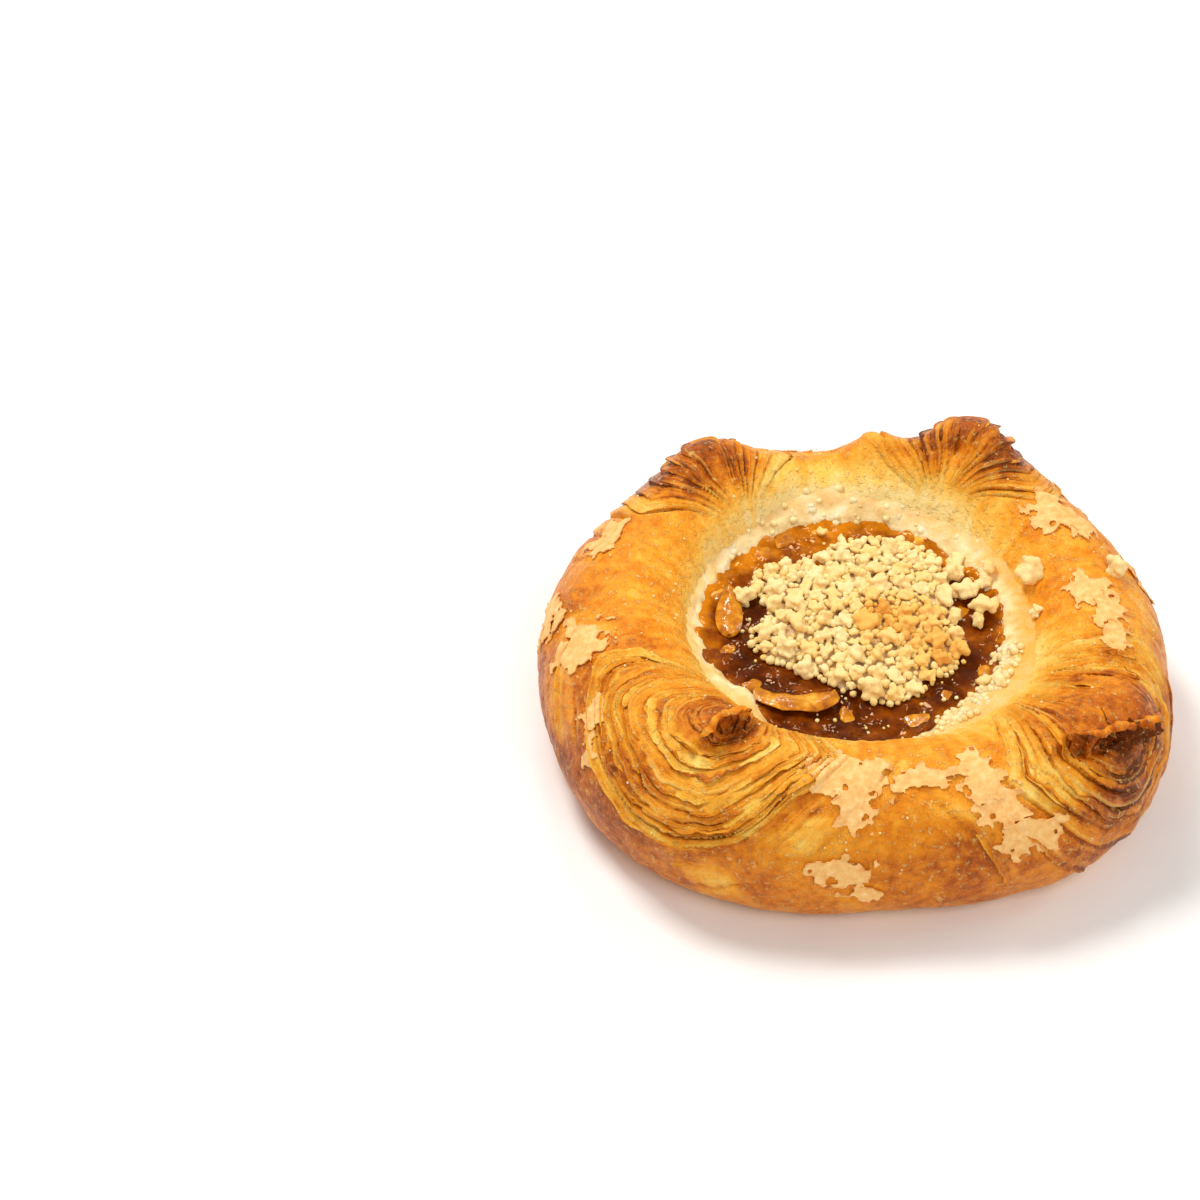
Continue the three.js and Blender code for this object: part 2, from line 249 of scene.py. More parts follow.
def finishPiece(piece, name, material, slot, *nodes):
    piece.name = piece.data.name = name
    piece.data.materials.clear()
    piece.data.materials.append(material)
    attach(piece, "root")
    if nodes:
        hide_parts(*nodes)
    print(name, len(piece.data.polygons), "faces")


# The case's form

def measure(theta, key):
    at = np.degrees(theta) % 360
    marks = np.array([s["at"] for s in stations] + [stations[0]["at"] + 360])
    values = np.array([s[key] for s in stations] + [stations[0][key]])
    at = np.where(at < marks[0], at + 360, at)
    after = np.clip(np.searchsorted(marks, at, side="right"), 1, len(marks) - 1)
    share = smoothstep(marks[after - 1], marks[after], at)
    return values[after - 1] + (values[after] - values[after - 1]) * share


def section(theta, t):
    # radius, height and length from the crest of the plain case; t is 0 to 1 under it, to 2 up the foot,
    # to 3 over the shoulder, to 4 down the bowl's wall and to 5 across its floor
    outer, crest, top, mouth = (measure(theta, key) for key in ("outer", "crest", "top", "mouth"))
    belly, inset, floor = case["bellyHeight"], case["footInset"], case["bowlFloor"]
    foot = outer - inset
    sweep = (t - 2) * quarter
    dip = (t - 3) * quarter
    shoulder = np.hypot(outer - crest, top - belly) / math.sqrt(2)
    wall = np.hypot(crest - mouth, top - floor) / math.sqrt(2)
    zones = [t <= 1, t <= 2, t <= 3, t <= 4]
    radius = np.select(
        zones,
        [foot * t, foot + inset * np.cos(sweep), crest + (outer - crest) * np.cos(sweep),
         crest - (crest - mouth) * np.sin(dip)],
        mouth * (5 - t),
    )
    height = np.select(
        zones,
        [0 * t, belly * (1 + np.sin(sweep)), belly + (top - belly) * np.sin(sweep),
         floor + (top - floor) * np.cos(dip)],
        floor,
    )
    farOut = 99
    along = np.select(
        zones,
        [0 * t + farOut, quarter * shoulder - sweep * (inset + belly) / 2, (quarter - sweep) * shoulder,
         -dip * wall],
        -farOut,
    )
    return radius, height, along


def plainPoint(theta, t):
    radius, height, along = section(theta, t)
    return np.stack([radius * np.cos(theta), radius * np.sin(theta), height], -1)


def plainNormals(theta, t):
    step = 0.004
    around = plainPoint(theta + step, t) - plainPoint(theta - step, t)
    over = plainPoint(theta, np.minimum(t + step, 4)) - plainPoint(theta, np.maximum(t - step, 1.001))
    normals = np.cross(around, over)
    return normals / (np.linalg.norm(normals, axis=1, keepdims=True) + 1e-9)


# The layers end close together in the cut corner and skinGaps apart in the skin around it. Some edges
# are deeper than the rest, and each layer has a level and a tone of its own.
layerRule = {
    "skinGaps": (4.5, 8), "skinReach": 22, "depths": (0.35, 1), "deeper": 2.1, "deeperShare": 0.25,
    "levels": (-0.4, 0.4), "tones": (-1, 1),
}


def layerEdges(corner):
    # where each layer ends, counted from the nub, and its depth, level and tone
    draw = random.Random(corner["at"])
    thinnest, thickest = corner["layers"]
    edges = [0, 1]
    while edges[-1] < corner["reach"] - 1:
        edges.append(edges[-1] + thinnest + (thickest - thinnest) * draw.random() ** 1.5)
    while edges[-1] < corner["reach"] + layerRule["skinReach"]:
        edges.append(edges[-1] + draw.uniform(*layerRule["skinGaps"]))
    depths = []
    for edge in edges:
        depth = draw.uniform(*layerRule["depths"])
        depths.append(depth * (layerRule["deeper"] if draw.random() < layerRule["deeperShare"] else 1))
    levels = [draw.uniform(*layerRule["levels"]) for edge in edges]
    tones = [draw.uniform(*layerRule["tones"]) for edge in edges]
    return np.array(edges), np.array(depths), np.array(levels), np.array(tones)


lipWander = [(0.7, 3.4, 5), (0.45, 1.5, 6)]


def nubShape(corner, across, outward, points):
    # a smooth fold of dough, which may end in a curled, crinkled edge on one side
    lean = math.radians(corner["lean"])
    side = across * math.cos(lean) - outward * math.sin(lean)
    far = across * math.sin(lean) + outward * math.cos(lean)
    spot = (side / corner["wide"]) ** 2 + (far / corner["long"]) ** 2
    dome = corner["high"] * np.exp(-spot ** 1.5)
    lipBrownAndShade = np.zeros(len(points))
    if corner["lip"]:
        rim = corner["lip"] * side - corner["lipAt"] + rough(points, lipWander)
        ends = np.exp(-((far / corner["long"]) ** 4))
        deep = corner["lipDeep"]
        onLip = np.exp(-((rim + 0.4) / 0.4) ** 2) * ends
        under = np.exp(-((rim - 1 - 0.6 * deep) / (0.9 + 0.8 * deep)) ** 2) * ends
        frill = 1 + 0.9 * noiseAt(points, 1.2, 7)
        dome = dome * (1 - 0.9 * smoothstep(-0.1, 0.7, rim)) + onLip * frill - (0.4 + 0.9 * deep) * under
        # the lip's darkening: browning on the lip itself, and painted shade in the hollow under it
        lipBrownAndShade = np.clip(0.5 * onLip + 1.2 * under * frill, 0, 1)
    return dome, lipBrownAndShade, spot


def stretch(corner, across, outward):
    # how much wider than round the layers run on the left and on the right of the nub
    left, right = corner["aside"]
    return np.where(across < 0, 1 + (left - 1) * smoothstep(-2, 10, outward), right)


def drawnIn(corner, outward):
    # how much closer the layers lie towards the bowl
    return np.maximum(0.28, 1 + outward / corner["gather"])


def layerPlace(number, corner, points, across, outward):
    # how far from the nub a spot lies, counted across its corner's layers
    across = across / stretch(corner, across, outward)
    place = np.where(outward > 0, np.hypot(across, outward), np.abs(across) / drawnIn(corner, outward))
    wobble = rough(points, [(1.2, 20, 10 + number), (0.6, 7, 20 + number), (0.22, 2.6, 25 + number)])
    bend = np.where(outward > 0, np.arctan2(np.abs(across), outward), quarter) * place
    bend = (bend + np.maximum(0, -outward)) * np.sign(across)
    ribbon = noiseAt(np.stack([place, bend / 6, 0 * place + 40 * number], -1), 1.7, 27)
    return np.maximum(0.01, place + (wobble + 0.42 * ribbon) * smoothstep(0, 6, place))


def cornerDetail(number, corner, spots, across, outward, t):
    # what a corner adds to the lift and to the fields that the dough's colours follow
    place = layerPlace(number, corner, spots, across, outward)
    edges, depths, levels, tones = layerEdges(corner)
    layer = np.clip(np.searchsorted(edges, place, side="right") - 1, 0, len(edges) - 2)
    share = (place - edges[layer]) / (edges[layer + 1] - edges[layer])
    plate = (0.45 * smoothstep(0, 0.2, share) + 0.55 * share) * (1 - smoothstep(0.82, 1, share))
    reach = corner["reach"]
    onPatch = 1 - smoothstep(reach - 0.6, reach + 0.5, place)
    inSkin = (1 - onPatch) * (1 - smoothstep(reach + 10, reach + 18, place)) * smoothstep(-2, 4, outward)
    inSkin = inSkin * smoothstep(-0.3, 0.25, noiseAt(spots, 15, 40 + number))
    inBowl = 1 - smoothstep(corner["fadeFrom"], corner["fadeTo"], -outward)
    outThere = smoothstep(1.15, 1.45, t) * (1 - smoothstep(3.5, 3.62, t))
    dome, onLip, spot = nubShape(corner, across, outward, spots)
    offNub = 1 - corner["bare"] * np.exp(-spot ** 1.5)
    cut = (onPatch + 0.75 * inSkin) * inBowl * smoothstep(0.6, 2.6, place) * outThere * offNub
    own = noiseAt(spots + 13.7 * layer[:, None], 9, 30 + number)
    strength = np.clip(0.65 + 1.1 * own, 0.05, 1.35)
    leaf = np.abs((place * 1.25 + 0.6 * noiseAt(spots, 3, 44 + number)) % 1 - 0.5) * 2
    leaf = 0.16 * (leaf - 0.5) * smoothstep(-0.2, 0.4, noiseAt(spots, 6, 48 + number))
    relief = strength * case["groove"] * depths[layer] * (plate - 0.75) + 0.6 * levels[layer] * own + leaf
    proud = corner["proud"] * smoothstep(-2, 5, outward) * onPatch * outThere
    peak = np.hypot(across, np.where(outward < 0, 0.65 * outward, outward))
    pale = smoothstep(0.05, 0.55, noiseAt(spots, 9, 54 + number))
    # painted shade low in each layer's profile towards the grooves and painted light on its raised part; each
    # layer also gets its own tone, pale patches and a little browning
    inLayers = 0.26 * strength * (0.5 - plate) + 0.14 * tones[layer] - 0.14 * pale - 0.08
    inLayers = inLayers + corner["fan"] * smoothstep(-1, -6, outward)
    inLayers = inLayers + corner["low"] * smoothstep(4, 9, outward)
    return {
        "lift": cut * relief + proud + dome * outThere,
        "bake": corner["brown"] * np.exp(-((peak / corner["spread"]) ** 2)) + cut * inLayers,
        "cut": cut,
        # groove weighs the shade painted into the gaps between layers and the highlight painted on their
        # edges
        "groove": cut * np.clip(strength, 0, 1) ** 1.5 * np.clip(depths[layer], 0.4, 1),
        "layers": layer + share,
        "lipBrownAndShade": onLip * outThere * corner["lipBrownAndShadeStrength"],
    }


# How far the plain skin is baked at each t, by how much that moves towards the crest near some
# directions (direction, width, shift), and where it is baked more or less than that (amount, direction,
# width, power, and the stretch of t in which it comes in).
skinLook = {
    "t": [1, 1.25, 1.5, 2, 2.6, 3, 3.2, 3.35, 3.45, 3.54],
    "bake": [0.5, 0.52, 0.7, 0.74, 0.66, 0.54, 0.44, 0.27, 0.1, -0.02],
    "shifts": [(14, 25, -0.43), (184, 38, -0.2), (285, 60, -0.08)],
    "tones": [(0.06, 275, 40, 2, 2.4, 3.2), (-0.1, 98, 34, 2, 2.6, 3.1), (-0.13, 78, 56, 4, 2.85, 3.25),
              (-0.078, 334, 18, 4, 2.85, 3.25), (0.14, 205, 25, 2, -1, 0)],
}


def skinBake(theta, t):
    shifted = t + 0
    for at, width, shift in skinLook["shifts"]:
        shifted = shifted + shift * smoothstep(2.9, 3.3, t) * near(theta, at, width)
    bake = np.interp(shifted, skinLook["t"], skinLook["bake"])
    for amount, at, width, power, low, high in skinLook["tones"]:
        bake = bake + amount * near(theta, at, width, power) * smoothstep(low, high, t)
    return bake


def caseDetail(theta, t):
    # lift over the plain form, and the fields that the dough's colours follow
    points = plainPoint(theta, t)
    radius, height, along = section(theta, t)
    streaks = rough(spokes(theta, 2 * t), case["streaks"]) * smoothstep(2.75, 3.15, t)
    lift = rough(points, case["lumps"]) - case["settled"] + 0.16 * streaks
    for hump in humps:
        across = np.radians(awayFrom(theta, hump["at"])) * radius / hump["wide"]
        lift += hump["high"] * np.exp(-across ** 2 - ((along - hump["out"]) / hump["long"]) ** 2)
    fields = {"lift": lift, "bake": skinBake(theta, t) + 0.11 * streaks}
    for name in ("cut", "groove", "layers", "lipBrownAndShade"):
        fields[name] = np.zeros(len(points))
    asides = np.stack([awayFrom(theta, corner["at"]) for corner in corners])
    nearest = np.abs(asides).argmin(0)
    for number, corner in enumerate(corners):
        here = nearest == number
        if not here.any():
            continue
        across = np.radians(asides[number][here]) * radius[here]
        found = cornerDetail(number, corner, points[here], across, along[here] - corner["out"], t[here])
        for name, values in found.items():
            fields[name][here] += values
    return fields.pop("lift") * smoothstep(0.9, 1.6, t), fields


def caseSurface(theta, t):
    points, normals = plainPoint(theta, t), plainNormals(theta, t)
    lift, fields = caseDetail(theta, t)
    points = points + normals * lift[:, None]
    points[:, 2] = np.maximum(points[:, 2], 0)
    return points, normals, fields


def makeCase():
    stops = np.concatenate([np.linspace(*row)[:-1] for row in case["rows"]] + [[4, 5]])
    fine = np.linspace(0, turn, 3601)
    away = np.min([np.abs(awayFrom(fine, corner["at"])) for corner in corners], axis=0)
    inCorner = 1 - smoothstep(case["cornerWidth"], case["cornerWidth"] + 4, away)
    density = 1 + (case["cornerDensity"] - 1) * inCorner
    reached = np.concatenate([[0], np.cumsum((density[1:] + density[:-1]) / 2)])
    sheet, u, v = gridSheet(case["columns"], len(stops) - 1)
    theta = np.interp(u, reached / reached[-1], fine)
    t = np.interp(v, np.linspace(0, 1, len(stops)), stops)
    points, normals, fields = caseSurface(theta, t)
    movePoints(sheet, points * mm)
    for name, values in fields.items():
        paintPoints(sheet, name, values)
    closeSeams(sheet)
    shadeSmooth(sheet)
    return sheet


def cornerSpot(corner, across, outward):
    # theta and t of the spots that lie so far across and outward from a corner's nub
    theta = np.full(len(across), math.radians(corner["at"]))
    for refining in range(3):
        low, high = np.ones(len(across)), np.full(len(across), 4.0)
        for halving in range(14):
            t = (low + high) / 2
            beyond = section(theta, t)[2] > outward + corner["out"]
            low, high = np.where(beyond, t, low), np.where(beyond, high, t)
        theta = math.radians(corner["at"]) + across / section(theta, t)[0]
    return theta, t


def arcSpot(corner, place, along):
    # across and outward for a place among the layers; along is counted from straight outwards
    past = np.abs(along) - place * quarter
    outward = np.where(past < 0, place * np.cos(along / place), -past)
    straight = np.sign(along) * place * drawnIn(corner, outward)
    across = np.where(past < 0, place * np.sin(along / place), straight)
    return across * stretch(corner, across, outward), outward


def onLayer(number, corner, place, along):
    # theta and t of the spots at a place among the layers as they waver
    plain = place
    for refining in range(3):
        across, outward = arcSpot(corner, plain, along)
        theta, t = cornerSpot(corner, across, outward)
        found = layerPlace(number, corner, plainPoint(theta, t), across, outward)
        plain = np.maximum(0.4, plain + place - found)
    return cornerSpot(corner, *arcSpot(corner, plain, along))


# Thin ends of layers, laid along the edges that the case has at each corner.
strips = {
    "columns": 44, "rows": 5, "thickness": 0.16, "lengths": (6, 21), "widths": (0.9, 2.1),
    "juts": (0.05, 0.45), "lifts": (0.1, 0.5), "tones": (-0.2, 0.16), "edgeTones": (-0.22, 0.26),
    "ragged": [(0.3, 2.2, 28), (0.16, 0.9, 29)], "buried": 0.22,
}


def planStrips(corner, draw):
    edges = layerEdges(corner)[0]
    plan = []
    for before, edge in zip(edges[1:], edges[2:]):
        if edge > corner["reach"] + corner["beyond"]:
            break
        onSkin = edge > corner["reach"] - 0.4
        half = edge * quarter + 0.8 * corner["fadeFrom"]
        for one in range(2 if onSkin else corner["strips"]):
            length = min(draw.uniform(*strips["lengths"]), 1.2 * half)
            strip = {"edge": edge, "plate": edge - 0.4 * (edge - before), "length": length,
                     "start": draw.uniform(-half, half - length)}
            for name in ("widths", "juts", "lifts", "tones", "edgeTones"):
                strip[name] = draw.uniform(*strips[name])
            plan.append(strip)
    return plan


def shapeStrips(number, corner, plan, u, v):
    # points and fields of all of a corner's strips, one after the other
    many = {name: np.array([[strip[name]] for strip in plan]) for name in plan[0]}
    order = np.arange(len(plan))[:, None] + 0 * u
    along = many["start"] + many["length"] * u
    taper = roundEnds(u, 0.02)
    track = np.stack([along, 9 * order, 0 * order], -1).reshape(-1, 3)
    ragged = rough(track, strips["ragged"]).reshape(order.shape)
    flutter = noiseAt(track, 3.6, 30).reshape(order.shape)
    inner = many["edge"] - many["widths"] * taper
    outer = many["edge"] + corner["loose"] * (many["juts"] * taper + ragged)
    place = np.maximum(0.8, inner + (outer - inner) * v)
    rise = corner["loose"] * many["lifts"] * taper * (1 + 0.8 * flutter)
    height = ((strips["buried"] + rise) * v ** 1.3 - strips["buried"]).ravel()
    theta, t = onLayer(number, corner, place.ravel(), along.ravel())
    middle = onLayer(number, corner, (many["plate"] + 0 * u).ravel(), along.ravel())
    lift, fields = caseDetail(*middle)
    height = height - 0.8 * (1 - smoothstep(0.3, 0.65, fields["cut"]))
    points = plainPoint(theta, t) + plainNormals(theta, t) * (lift + height)[:, None]
    tone = (many["tones"] + many["edgeTones"] * smoothstep(0.5, 1, v) + corner["burnt"]).ravel()
    fields["bake"] = fields["bake"] + tone
    fields["groove"] = 0 * tone
    fields["layers"] = (7 * order + 0.5 * v).ravel()
    return points, fields


def makeStrips():
    draw = random.Random(23)
    model, u, v = gridSheet(strips["columns"], strips["rows"])
    pieces = []
    for number, corner in enumerate(corners):
        plan = planStrips(corner, draw)
        points, fields = shapeStrips(number, corner, plan, u, v)
        for index in range(len(plan)):
            strip = copyModel(model, "strip")
            own = slice(index * len(u), (index + 1) * len(u))
            movePoints(strip, points[own] * mm)
            for name, values in fields.items():
                paintPoints(strip, name, values[own])
            pieces.append(strip)
    bpy.data.objects.remove(model)
    joined = joinAll(pieces)
    applyModifier(joined, "SOLIDIFY", thickness=strips["thickness"] * mm, offset=1)
    shadeSmooth(joined, 50)
    return joined


# The two nubs that end in a lip have it curled over, as a thin flap.
flap = {"columns": 70, "rows": 10, "thickness": 0.35, "curl": 140, "start": 0.35}


def makeFlap(corner):
    sheet, u, v = gridSheet(flap["columns"], flap["rows"])
    lean = math.radians(corner["lean"])

    def spotAt(side, far):
        across = side * math.cos(lean) + far * math.sin(lean)
        outward = far * math.cos(lean) - side * math.sin(lean)
        return cornerSpot(corner, across, outward)

    far = (u - 0.5) * 1.7 * corner["long"]
    guess = plainPoint(*spotAt(corner["lip"] * corner["lipAt"] + 0 * far, far))
    side = corner["lip"] * (corner["lipAt"] - rough(guess, lipWander) - 0.5)
    points, normals, fields = caseSurface(*spotAt(side, far))
    beyond = caseSurface(*spotAt(side + 0.8 * corner["lip"], far))[0] - points
    beyond -= normals * (beyond * normals).sum(1)[:, None]
    beyond /= np.linalg.norm(beyond, axis=1, keepdims=True)
    frill = 1 + 0.7 * noiseAt(np.stack([far, 0 * far + corner["at"], 0 * far], -1), 1.8, 8)
    radius = (corner["flapSize"] * roundEnds(u, 0.04) * np.clip(frill, 0.35, 2))[:, None]
    sweep = (math.radians(flap["curl"]) * v - flap["start"])[:, None]
    shape = points + normals * radius * np.sin(sweep) + beyond * radius * (1 - np.cos(sweep))
    shape += 0.12 * noiseAt(shape, 1.1, 9)[:, None] * normals
    movePoints(sheet, shape * mm)
    fields["bake"] = corner["flapBake"] - 0.25 * (1 - v) + 0.2 * noiseAt(shape, 2.2, 4)
    for name in ("cut", "groove", "lipBrownAndShade"):
        fields[name] = 0 * far
    for name, values in fields.items():
        paintPoints(sheet, name, values)
    return sheet


def makeFlaps():
    joined = joinAll([makeFlap(corner) for corner in corners if corner["lip"]])
    applyModifier(joined, "SOLIDIFY", thickness=flap["thickness"] * mm, offset=0)
    shadeSmooth(joined, 50)
    return joined


# Pale, ragged bits of the outer skin that lifted off in baking, as direction, t, width and height.
flakes = {
    "grid": 0.28, "thickness": 0.22, "grow": 1.15,
    "ragged": [(0.55, 3.4, 50), (0.34, 1.5, 51), (0.16, 0.7, 52)],
    "patches": [
        (264, 2.82, 6.5, 4.2), (265.5, 2.6, 3.6, 3.8), (280.5, 2.79, 5.2, 2.2), (293, 2.74, 3.6, 4.6),
        (294.5, 2.5, 4.2, 3.4), (299, 2.26, 5.6, 3.2), (264, 2.12, 4.4, 3), (268, 1.9, 3, 1.6),
        (30, 3.0, 4.4, 4.4), (24, 2.84, 3.4, 3.2), (2, 3.05, 4, 4.2), (356, 2.9, 4.2, 3),
        (347, 2.86, 3.4, 2.6), (208, 2.5, 2.6, 3.6), (212, 2.3, 2.2, 2.6), (190, 2.6, 5, 5.5),
        (176, 2.3, 5, 4), (160, 2.7, 4.4, 3.4), (104, 2.4, 5, 3.6), (92, 2.1, 4, 3),
        (38, 2.3, 4.4, 4), (12, 2.35, 4, 3.4),
    ],
}


def cutAway(piece, chosen):
    # deletes the chosen points and softens the new edge
    pick(piece)
    bpy.ops.object.mode_set(mode="EDIT")
    bpy.ops.mesh.select_mode(type="VERT")
    bpy.ops.mesh.select_all(action="DESELECT")
    bpy.ops.object.mode_set(mode="OBJECT")
    piece.data.vertices.foreach_set("select", chosen)
    bpy.ops.object.mode_set(mode="EDIT")
    bpy.ops.mesh.delete(type="VERT")
    editAll(piece, bpy.ops.mesh.vertices_smooth, factor=0.4, repeat=1)


def makeFlake(number, at, middle, wide, tall):
    wide, tall = flakes["grow"] * wide, flakes["grow"] * tall
    half = 1.5 * max(wide, tall)
    count = int(2 * half / flakes["grid"])
    sheet, u, v = gridSheet(count, count)
    side, up = (u - 0.5) * 2 * half, (v - 0.5) * 2 * half
    theta, step = np.array([math.radians(at)]), 0.05
    radius = section(theta, np.array([middle]))[0][0]
    perT = np.ptp([section(theta, np.array([middle + way * step]))[2][0] for way in (-1, 1)]) / (2 * step)
    flat = np.stack([side + 50 * number, up, 0 * up], -1)
    spread = np.sqrt((side / wide) ** 2 + (up / tall) ** 2)
    inside = 1 - spread + rough(flat, flakes["ragged"])
    points, normals, fields = caseSurface(theta + side / radius, np.clip(middle + up / perT, 1.2, 3.5))
    curl = 0.1 + 0.42 * (1 - smoothstep(0, 0.35, inside)) * smoothstep(-0.2, 0.5, noiseAt(flat, 3, 53))
    movePoints(sheet, (points + normals * curl[:, None]) * mm)
    paintPoints(sheet, "rim", 1 - smoothstep(0, 0.25, inside))
    cutAway(sheet, inside < 0)
    applyModifier(sheet, "SOLIDIFY", thickness=flakes["thickness"] * mm, offset=1)
    return sheet


def makeFlakes():
    joined = joinAll([makeFlake(number, *patch) for number, patch in enumerate(flakes["patches"])])
    shadeSmooth(joined, 40)
    return joined


# The filling. jamBulges are amount, direction and width; heapBays are direction, width and depth.

filling = {
    "jamInset": 1.4, "jamLevel": 20.5, "waves": [(0.45, 8, 60), (0.5, 3.8, 61), (0.2, 1.8, 62)],
    "jamBulges": [(2.8, 186, 48), (1.7, 90, 40), (-1.2, 0, 42), (-2.6, 219, 12)],
    "curdTall": 1.3, "curdBelow": 0.6, "curdGrains": [(0.45, 4, 70), (0.34, 1.7, 71), (0.16, 0.9, 72)],
    "heapMiddle": (0.6, 3.4), "heapReach": 19.6, "heapLift": 0.5, "heapHeight": 1.9,
    "heapBays": [(2, 20, 5), (177, 14, 3), (234, 20, 4), (120, 17, 3.4)],
}


def atFront(theta):
    # 1 where the front rim hides the curd and the jam runs up to the dough
    return near(theta, 262, 34, 4)


def jamEdge(theta):
    edge = measure(theta, "mouth") - filling["jamInset"] + 1.9 * atFront(theta)
    for amount, at, width in filling["jamBulges"]:
        edge = edge + amount * near(theta, at, width)
    return edge + 0.4 * np.sin(3 * theta + 1) + 0.3 * np.sin(7 * theta)


def jamHeight(x, y):
    return filling["jamLevel"] + rough(np.stack([x, y, 0 * x], -1), filling["waves"])


def curdSpan(theta):
    # the ring's inner and outer radius, its inner side's height and how far its outer side lies above that
    climb = 2.9 + 2.8 * near(theta, 92, 46) + near(theta, 328, 24)
    level = filling["jamLevel"] - filling["curdBelow"] - 1.5 * atFront(theta)
    return jamEdge(theta) - 0.8, measure(theta, "mouth") + 6, level, climb


def curdTop(theta, radius):
    inner, outer, level, climb = curdSpan(theta)
    share = np.clip((radius - inner) / (outer - inner), 0, 1)
    return level + climb * share + filling["curdTall"] * np.sqrt(1 - (2 * share - 1) ** 2)


def heapEdge(theta):
    edge = filling["heapReach"] + 0.7 * np.sin(5 * theta + 2) + 0.5 * np.sin(8 * theta)
    for at, width, depth in filling["heapBays"]:
        edge = edge - depth * near(theta, at, width)
    return edge


def heapTop(share):
    return filling["jamLevel"] + filling["heapLift"] + filling["heapHeight"] * (1 - share ** 2.4)


def groundHeight(x, y):
    # top of the jam, the curd ring or the core of the heap
    radius, theta = np.hypot(x, y), np.arctan2(y, x)
    base = np.where(radius < jamEdge(theta), jamHeight(x, y), curdTop(theta, radius))
    aside, ahead = x - filling["heapMiddle"][0], y - filling["heapMiddle"][1]
    share = np.clip(np.hypot(aside, ahead) / heapEdge(np.arctan2(ahead, aside)), 0, 1)
    return np.where(share < 0.98, np.maximum(heapTop(share), base), base)


def groundAt(x, y):
    return groundHeight(np.array([x]), np.array([y]))[0]


def makeCurd():
    deselectAll()
    bpy.ops.mesh.primitive_torus_add(major_segments=560, minor_segments=44, major_radius=1, minor_radius=0.2)
    ring = bpy.context.object
    flat = readPoints(ring)
    theta = np.arctan2(flat[:, 1], flat[:, 0])
    around = np.arctan2(flat[:, 2], np.hypot(flat[:, 0], flat[:, 1]) - 1)
    inner, outer, level, climb = curdSpan(theta)
    share = (1 + np.cos(around)) / 2
    radius = inner + (outer - inner) * share
    height = level + climb * share + filling["curdTall"] * np.sin(around)
    points = np.stack([radius * np.cos(theta), radius * np.sin(theta), height], -1)
    streaks = rough(spokes(theta, share), [(1, 1.7, 74), (0.5, 0.8, 77)])
    grains = rough(points, filling["curdGrains"]) + 0.22 * streaks * smoothstep(0.35, 0.7, share)
    outwards = np.stack([np.cos(around) * np.cos(theta), np.cos(around) * np.sin(theta), np.sin(around)], -1)
    movePoints(ring, (points + outwards * grains[:, None]) * mm)
    sides = 0.6 + 0.5 * near(theta, 10, 44) - 0.3 * near(theta, 92, 46)
    fromJam = smoothstep(0.17, 0.5, share + 0.1 * noiseAt(points, 2, 73) + 0.1 * streaks)
    paintPoints(ring, "warm", np.clip(sides * fromJam, 0, 1))
    shadeSmooth(ring)
    return ring


def makeJam():
    stops = np.concatenate([np.linspace(0, 1, 66), [1.05, 1.5, 2]])
    sheet, u, v = gridSheet(300, len(stops) - 1)
    theta = u * turn
    t = np.interp(v, np.linspace(0, 1, len(stops)), stops)
    share = np.where(t <= 1, t, np.where(t < 1.5, 1, 2 * (2 - t)))
    radius = share * (jamEdge(theta) + 0.8)
    x, y = radius * np.cos(theta), radius * np.sin(theta)
    height = jamHeight(x, y) + 0.5 * smoothstep(0.93, 0.985, share)
    height = np.where(t > 1.01, filling["jamLevel"] - 2.5, height)
    movePoints(sheet, np.stack([x, y, height], -1) * mm)
    paintPoints(sheet, "thin", smoothstep(0.8, 1, share) * (1 - 0.8 * atFront(theta)) + smoothstep(-5, 25, y))
    closeSeams(sheet)
    editAll(sheet, bpy.ops.mesh.normals_make_consistent, inside=False)
    shadeSmooth(sheet)
    return sheet


# Cooked apple: bits sunk in the jam, by place, size and turn, and two slices on top.
apple = {
    "bits": [
        (23.5, -9.5, 5.0, 20), (24.5, -5.5, 3.2, 70), (9.5, -21.5, 4.6, 15), (17, -19, 3.4, 50),
        (-3, -19.5, 3.6, 80), (-12, 25, 4.4, 30), (-6, 26, 3.2, 10), (-17, 21.5, 3.6, 60),
        (19.5, 6, 3.8, 35), (-23.5, -4.5, 3.4, 75), (-24.5, 10, 3.2, 40), (25, 12, 3, 5),
        (-19.5, -12.5, 3.4, 25), (13, 24.5, 3.4, 55), (-9, -17.5, 4.6, 45), (14.5, -15.5, 3, 65),
    ],
    "bitShape": (1.1, 0.8, 0.5),
    "curl": {"x": -11.6, "y": -13.4, "radius": 6.6, "sweep": 150, "facing": 262, "thick": 1.15},
    "petal": {"x": -23, "y": 4.4, "long": 11.4, "wide": 4.8, "lean": 88, "thick": 1.1},
}


def appleBit(x, y, size, lean):
    deselectAll()
    bpy.ops.mesh.primitive_cube_add(size=size)
    bit = bpy.context.object
    editAll(bit, bpy.ops.mesh.bevel, offset=0.28 * size, segments=3)
    editAll(bit, bpy.ops.mesh.subdivide, number_cuts=3)
    points = readPoints(bit)
    dents = noiseAt(points + 7 * size + x, 0.5 * size, 80) + 0.4 * noiseAt(points + x, 1.1, 81)
    points = points * (1 + 0.16 * dents)[:, None] * apple["bitShape"]
    cosine, sine = math.cos(math.radians(lean)), math.sin(math.radians(lean))
    points = points @ np.array([[cosine, sine, 0], [-sine, cosine, 0], [0, 0, 1]])
    level = jamHeight(np.array([x]), np.array([y]))[0]
    movePoints(bit, (points + [x, y, level - 0.22 * size]) * mm)
    return bit


def makeBits():
    joined = joinAll([appleBit(*bit) for bit in apple["bits"]])
    shadeSmooth(joined)
    return joined


